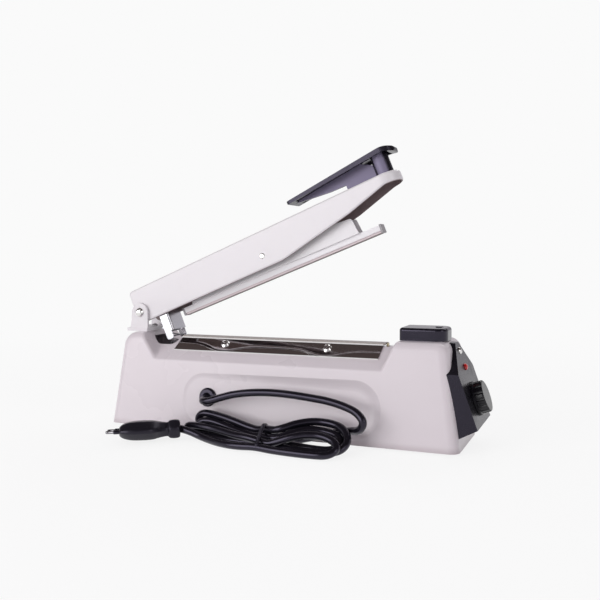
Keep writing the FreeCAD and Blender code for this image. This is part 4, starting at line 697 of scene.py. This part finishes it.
# Mains cord with its grommet.
# A black PVC lead, 6.4 mm thick and 1.26 m long, leaves through a round grommet, bends sharply
# to the front end, drops, and is folded in a loose hank of three loops a side.
def black_pvc(start, place):
    tint = cloud(start, place, 55.0, 3.0)
    dusty = cloud(start, place, 210.0, 4.0).past(0.5, 0.3)
    color = tint.mix((0.0045, 0.0040, 0.0065, 1), (0.0105, 0.0095, 0.0140, 1))
    color = (dusty * 0.12).mix(color, (0.030, 0.028, 0.036, 1))
    return {"Base Color": color, "Roughness": dusty * 0.06 + tint * 0.04 + 0.17,
            "Normal": relief(start, dusty, 0.03, 0.0001), "Specular IOR Level": 0.5,
            "Specular Tint": (0.82, 0.75, 1.0, 1)}


route = [
    (-0.06915, -0.0362, 0.0309), (-0.069, -0.0435, 0.0306), (-0.0666, -0.0504, 0.03),
    (-0.0585, -0.0516, 0.0312), (-0.049, -0.05, 0.0344), (-0.036, -0.0502, 0.0382),
    (-0.0202, -0.0504, 0.0408), (-0.0021, -0.0494, 0.0418), (0.0161, -0.0499, 0.0414),
    (0.0337, -0.0494, 0.0398), (0.0513, -0.0506, 0.0382), (0.066, -0.053, 0.0352),
    (0.0765, -0.0565, 0.032), (0.0832, -0.0595, 0.0255), (0.0785, -0.0566, 0.0178),
    (0.069, -0.049, 0.0154), (0.054, -0.0454, 0.0116), (0.036, -0.046, 0.007),
    (0.02, -0.0485, 0.0032), (0.009, -0.05, 0.0033), (-0.001, -0.0532, 0.0044),
    (-0.011, -0.057, 0.0033), (-0.024, -0.0562, 0.003), (-0.042, -0.0542, 0.003),
    (-0.058, -0.0532, 0.0032), (-0.067, -0.0528, 0.0042), (-0.071, -0.052, 0.0086),
    (-0.0665, -0.0512, 0.0136), (-0.056, -0.0512, 0.0138), (-0.0437, -0.0532, 0.0112),
    (-0.0273, -0.0573, 0.0088), (-0.011, -0.0618, 0.0072), (-0.001, -0.0646, 0.0086),
    (0.008, -0.0683, 0.0082), (0.016, -0.0678, 0.0098), (0.0244, -0.0622, 0.0134),
    (0.034, -0.0556, 0.0154), (0.0452, -0.0528, 0.0142), (0.056, -0.054, 0.0128),
    (0.063, -0.0574, 0.0104), (0.0645, -0.0636, 0.0058), (0.058, -0.0684, 0.003),
    (0.045, -0.0686, 0.003), (0.031, -0.0656, 0.003), (0.018, -0.0602, 0.0032),
    (0.008, -0.0567, 0.0058), (-0.001, -0.053, 0.0104), (-0.012, -0.0506, 0.0072),
    (-0.024, -0.0486, 0.004), (-0.038, -0.0472, 0.0032), (-0.052, -0.0468, 0.0038),
    (-0.064, -0.0466, 0.0056), (-0.0716, -0.0465, 0.009), (-0.073, -0.0466, 0.015),
    (-0.0685, -0.0472, 0.0192), (-0.061, -0.0478, 0.0194), (-0.0524, -0.0494, 0.0186),
    (-0.043, -0.0512, 0.0174), (-0.032, -0.0534, 0.0154), (-0.0219, -0.0554, 0.0132),
    (-0.011, -0.0574, 0.0114), (-0.001, -0.0596, 0.0136), (0.008, -0.0634, 0.0139),
    (0.015, -0.0634, 0.016), (0.025, -0.057, 0.0196), (0.0373, -0.0498, 0.021),
    (0.0517, -0.049, 0.0202), (0.062, -0.0525, 0.0184), (0.069, -0.0585, 0.014),
    (0.071, -0.065, 0.0086), (0.067, -0.072, 0.0042), (0.057, -0.0762, 0.003),
    (0.045, -0.0774, 0.003), (0.03, -0.0766, 0.003), (0.016, -0.0726, 0.003),
    (0.008, -0.0705, 0.0033), (-0.001, -0.0692, 0.0044), (-0.011, -0.068, 0.0033),
    (-0.0248, -0.0686, 0.003), (-0.0409, -0.0652, 0.0032), (-0.057, -0.0606, 0.0032),
    (-0.069, -0.0578, 0.0034), (-0.0775, -0.0572, 0.0056), (-0.077, -0.0584, 0.01),
    (-0.0685, -0.06, 0.011), (-0.0573, -0.0622, 0.0113), (-0.0469, -0.064, 0.0106),
    (-0.036, -0.067, 0.0098), (-0.0252, -0.0705, 0.0088), (-0.012, -0.0736, 0.0088),
    (-0.001, -0.0756, 0.0076), (0.008, -0.0766, 0.0058), (0.016, -0.077, 0.0084),
    (0.0273, -0.0752, 0.0126), (0.038, -0.072, 0.0148), (0.0486, -0.07, 0.0148),
    (0.058, -0.0708, 0.0132), (0.0655, -0.074, 0.0104), (0.067, -0.079, 0.0064),
    (0.061, -0.0836, 0.0032), (0.0505, -0.085, 0.003), (0.032, -0.0846, 0.003),
    (0.014, -0.0833, 0.0032), (-0.001, -0.0824, 0.0044), (-0.0166, -0.0823, 0.0032),
    (-0.0332, -0.0785, 0.003), (-0.0474, -0.0718, 0.003), (-0.0598, -0.0674, 0.0044),
    (-0.07, -0.0669, 0.0076), (-0.07825, -0.0673, 0.009),
]
pvc = finish("black_pvc", black_pvc)
cord_curve = bpy.data.curves.new("mains_cord", "CURVE")
cord_curve.dimensions = "3D"
cord_curve.bevel_depth = 0.0032
cord_curve.bevel_resolution = 4
cord_curve.resolution_u = 8
cord_curve.use_fill_caps = True
line = cord_curve.splines.new("NURBS")
line.points.add(len(route) - 1)
for point, place in zip(line.points, route):
    point.co = (place[0], place[1], place[2] + 0.0002, 1)
line.order_u = 3
line.use_endpoint_u = True
cord_curve.materials.append(pvc)
mains_cord = bpy.data.objects.new("mains_cord", cord_curve)
bpy.context.collection.objects.link(mains_cord)
dress("cord_gland", satin_black)
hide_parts("cord_lead", "cord_hank", "cord_tail")
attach(mains_cord, "housing")


# Strap, plug and pins.
# A ribbed nylon strap holds the hank at its middle. The two-pin plug is moulded on the cord's
# end in satin black, with a thick collar and thin nickel-plated pins.
strap_path = [(-0.0478, 0.0058), (-0.0482, 0.0118), (-0.0525, 0.0152), (-0.0590, 0.0178), (-0.0665, 0.0158),
              (-0.0765, 0.0118), (-0.0840, 0.0084), (-0.0852, 0.0040), (-0.0820, 0.0013), (-0.0690, 0.0011),
              (-0.0550, 0.0011), (-0.0495, 0.0013)]
strap_curve = bpy.data.curves.new("strap_path", "CURVE")
strap_curve.dimensions = "3D"
strap_line = strap_curve.splines.new("NURBS")
strap_line.points.add(len(strap_path) - 1)
for point, (across, up) in zip(strap_line.points, strap_path):
    lean = -0.0016 - (across + 0.066) * 0.22
    point.co = (lean, across, up, 1)
strap_line.order_u = 3
strap_line.use_cyclic_u = True
strap_holder = bpy.data.objects.new("strap_path", strap_curve)
bpy.context.collection.objects.link(strap_holder)


def strap_tree():
    """Sweeps the strap along its path and sets ribs across it."""
    growth = Growth("ribbed_strap", {"Width": "Float", "Thickness": "Float", "Ribs": "Int"})
    given = growth.given
    outline = growth.add("GeometryNodeCurvePrimitiveQuadrilateral",
                         {"Width": given["Width"], "Height": given["Thickness"]}, mode="RECTANGLE")
    rounded = growth.add("GeometryNodeFilletCurve", {"Curve": outline, "Count": 3, "Radius": 0.0003}, mode="POLY")
    band = growth.add("GeometryNodeCurveToMesh", {"Curve": given["Geometry"], "Profile Curve": rounded})
    stations = growth.add("GeometryNodeCurveToPoints", {"Curve": given["Geometry"], "Count": given["Ribs"]},
                          mode="COUNT")
    rib_width = growth.add("ShaderNodeMath", {0: given["Width"], 1: 0.72}, operation="MULTIPLY")
    rib_depth = growth.add("ShaderNodeMath", {0: given["Thickness"], 1: 1.5}, operation="MULTIPLY")
    rib_size = growth.add("ShaderNodeCombineXYZ", {"X": rib_width, "Y": rib_depth, "Z": 0.0005})
    rib = growth.add("GeometryNodeMeshCube", {"Size": rib_size})
    ribs = growth.add("GeometryNodeInstanceOnPoints", {
        "Points": stations.outputs["Points"], "Instance": rib, "Rotation": stations.outputs["Rotation"]})
    return growth.close(band, ribs)


hank_strap = grown(strap_holder, strap_tree(), "hank_strap",
                   {"Width": 0.0032, "Thickness": 0.0009, "Ribs": 90, "Material": satin_black})
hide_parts("hank_tie")
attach(hank_strap, "housing")


def plug_plastic(start, place):
    tint = cloud(start, place, 40.0, 3.0)
    spark = cloud(start, place, 1500.0, 2.0)
    scuff = cloud(start, place, 140.0, 4.0).past(0.52, 0.25)
    color = tint.mix((0.0080, 0.0072, 0.0110, 1), (0.0150, 0.0140, 0.0200, 1))
    return {"Base Color": (scuff * 0.2).mix(color, (0.035, 0.033, 0.042, 1)),
            "Roughness": scuff * 0.1 + tint * 0.06 + 0.28, "Normal": relief(start, spark, 0.12, 0.0002),
            "Specular IOR Level": 0.38, "Specular Tint": (0.86, 0.80, 1.0, 1)}


# The stations run from the collar to the nose: place along the plug, half width, half depth.
plug_stations = [(0.0000, 0.0062, 0.0056), (0.0006, 0.0080, 0.0072), (0.0030, 0.0088, 0.0079),
                 (0.0080, 0.0086, 0.0078), (0.0096, 0.0078, 0.0070), (0.0102, 0.0066, 0.0060),
                 (0.0114, 0.0066, 0.0058), (0.0145, 0.0084, 0.0062), (0.0185, 0.0112, 0.0068),
                 (0.0215, 0.0148, 0.0077), (0.0265, 0.0166, 0.0081), (0.0370, 0.0168, 0.0080),
                 (0.0430, 0.0158, 0.0074), (0.0478, 0.0138, 0.0058), (0.0500, 0.0122, 0.0042),
                 (0.0506, 0.0106, 0.0030)]
plug_stand = (Matrix.Translation((-0.07825, -0.0673, 0.00935)) @ Matrix.Rotation(math.radians(212.7), 4, "Z")
              @ Matrix.Rotation(math.radians(9), 4, "X"))


def link_piece(name, mesh, *materials):
    for material in materials:
        mesh.materials.append(material)
    made = bpy.data.objects.new(name, mesh)
    bpy.context.collection.objects.link(made)
    return made


def lofted(name, stations, outline, stand):
    """A closed mesh through the stations, whose outline is a list of corners in half sizes."""
    form = bmesh.new()
    rings = [[form.verts.new(stand @ Vector((x, wide * u, deep * v))) for u, v in outline]
             for x, wide, deep in stations]
    count = len(outline)
    for first, second in zip(rings, rings[1:]):
        for i in range(count):
            form.faces.new((first[i], second[i], second[(i + 1) % count], first[(i + 1) % count]))
    form.faces.new(rings[0])
    form.faces.new(list(reversed(rings[-1])))
    bmesh.ops.recalc_face_normals(form, faces=form.faces)
    for face in form.faces:
        face.smooth = True
    mesh = bpy.data.meshes.new(name)
    form.to_mesh(mesh)
    form.free()
    return mesh


eighth = [(1.0, -0.20), (1.0, 0.12), (0.97, 0.26), (0.60, 0.95), (0.50, 1.0)]
plug_outline = (eighth + [(-u, v) for u, v in reversed(eighth)] + [(-u, -v) for u, v in eighth[2:]]
                + [(u, -v) for u, v in reversed(eighth[2:])])
plug = link_piece("moulded_plug", lofted("moulded_plug", plug_stations, plug_outline, plug_stand),
                  finish("plug_plastic", plug_plastic))
smooth = plug.modifiers.new("smooth", "SUBSURF")
smooth.levels = 2
smooth.render_levels = 2
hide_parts("plug_body")
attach(plug, "housing")


def dark_nickel(start, place):
    stain = cloud(start, place, 500.0, 3.0)
    return {"Base Color": stain.mix((0.22, 0.215, 0.23, 1), (0.36, 0.35, 0.37, 1)), "Metallic": 1.0,
            "Roughness": stain * 0.12 + 0.2}


pin_profile = [(0.0440, 0.0000), (0.0440, 0.0018), (0.0545, 0.0018), (0.0549, 0.0016), (0.0551, 0.0013),
               (0.0600, 0.0013), (0.0609, 0.0011), (0.0613, 0.0007), (0.0615, 0.0000)]
pins_form = bmesh.new()
for side in (-1, 1):
    rings = []
    for x, radius in pin_profile:
        turn = [math.tau * k / 24 for k in range(24)] if radius else [0.0]
        rings.append([pins_form.verts.new(plug_stand @ Vector((x, side * 0.0095 * (1 - (x - 0.044) * 4)
                                          + radius * math.cos(t), radius * math.sin(t)))) for t in turn])
    for index, (first, second) in enumerate(zip(rings, rings[1:])):
        for k in range(24):
            corners = [first[k % len(first)], second[k % len(second)], second[(k + 1) % len(second)],
                       first[(k + 1) % len(first)]]
            face = pins_form.faces.new(list(dict.fromkeys(corners)))
            face.material_index = 0 if index < 3 else 1
            face.smooth = True
bmesh.ops.recalc_face_normals(pins_form, faces=pins_form.faces)
pins_mesh = bpy.data.meshes.new("plug_pins_sleeved")
pins_form.to_mesh(pins_mesh)
pins_form.free()
pins = link_piece("plug_pins_sleeved", pins_mesh, satin_black, finish("dark_nickel", dark_nickel))
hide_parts("plug_pins")
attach(pins, "housing")
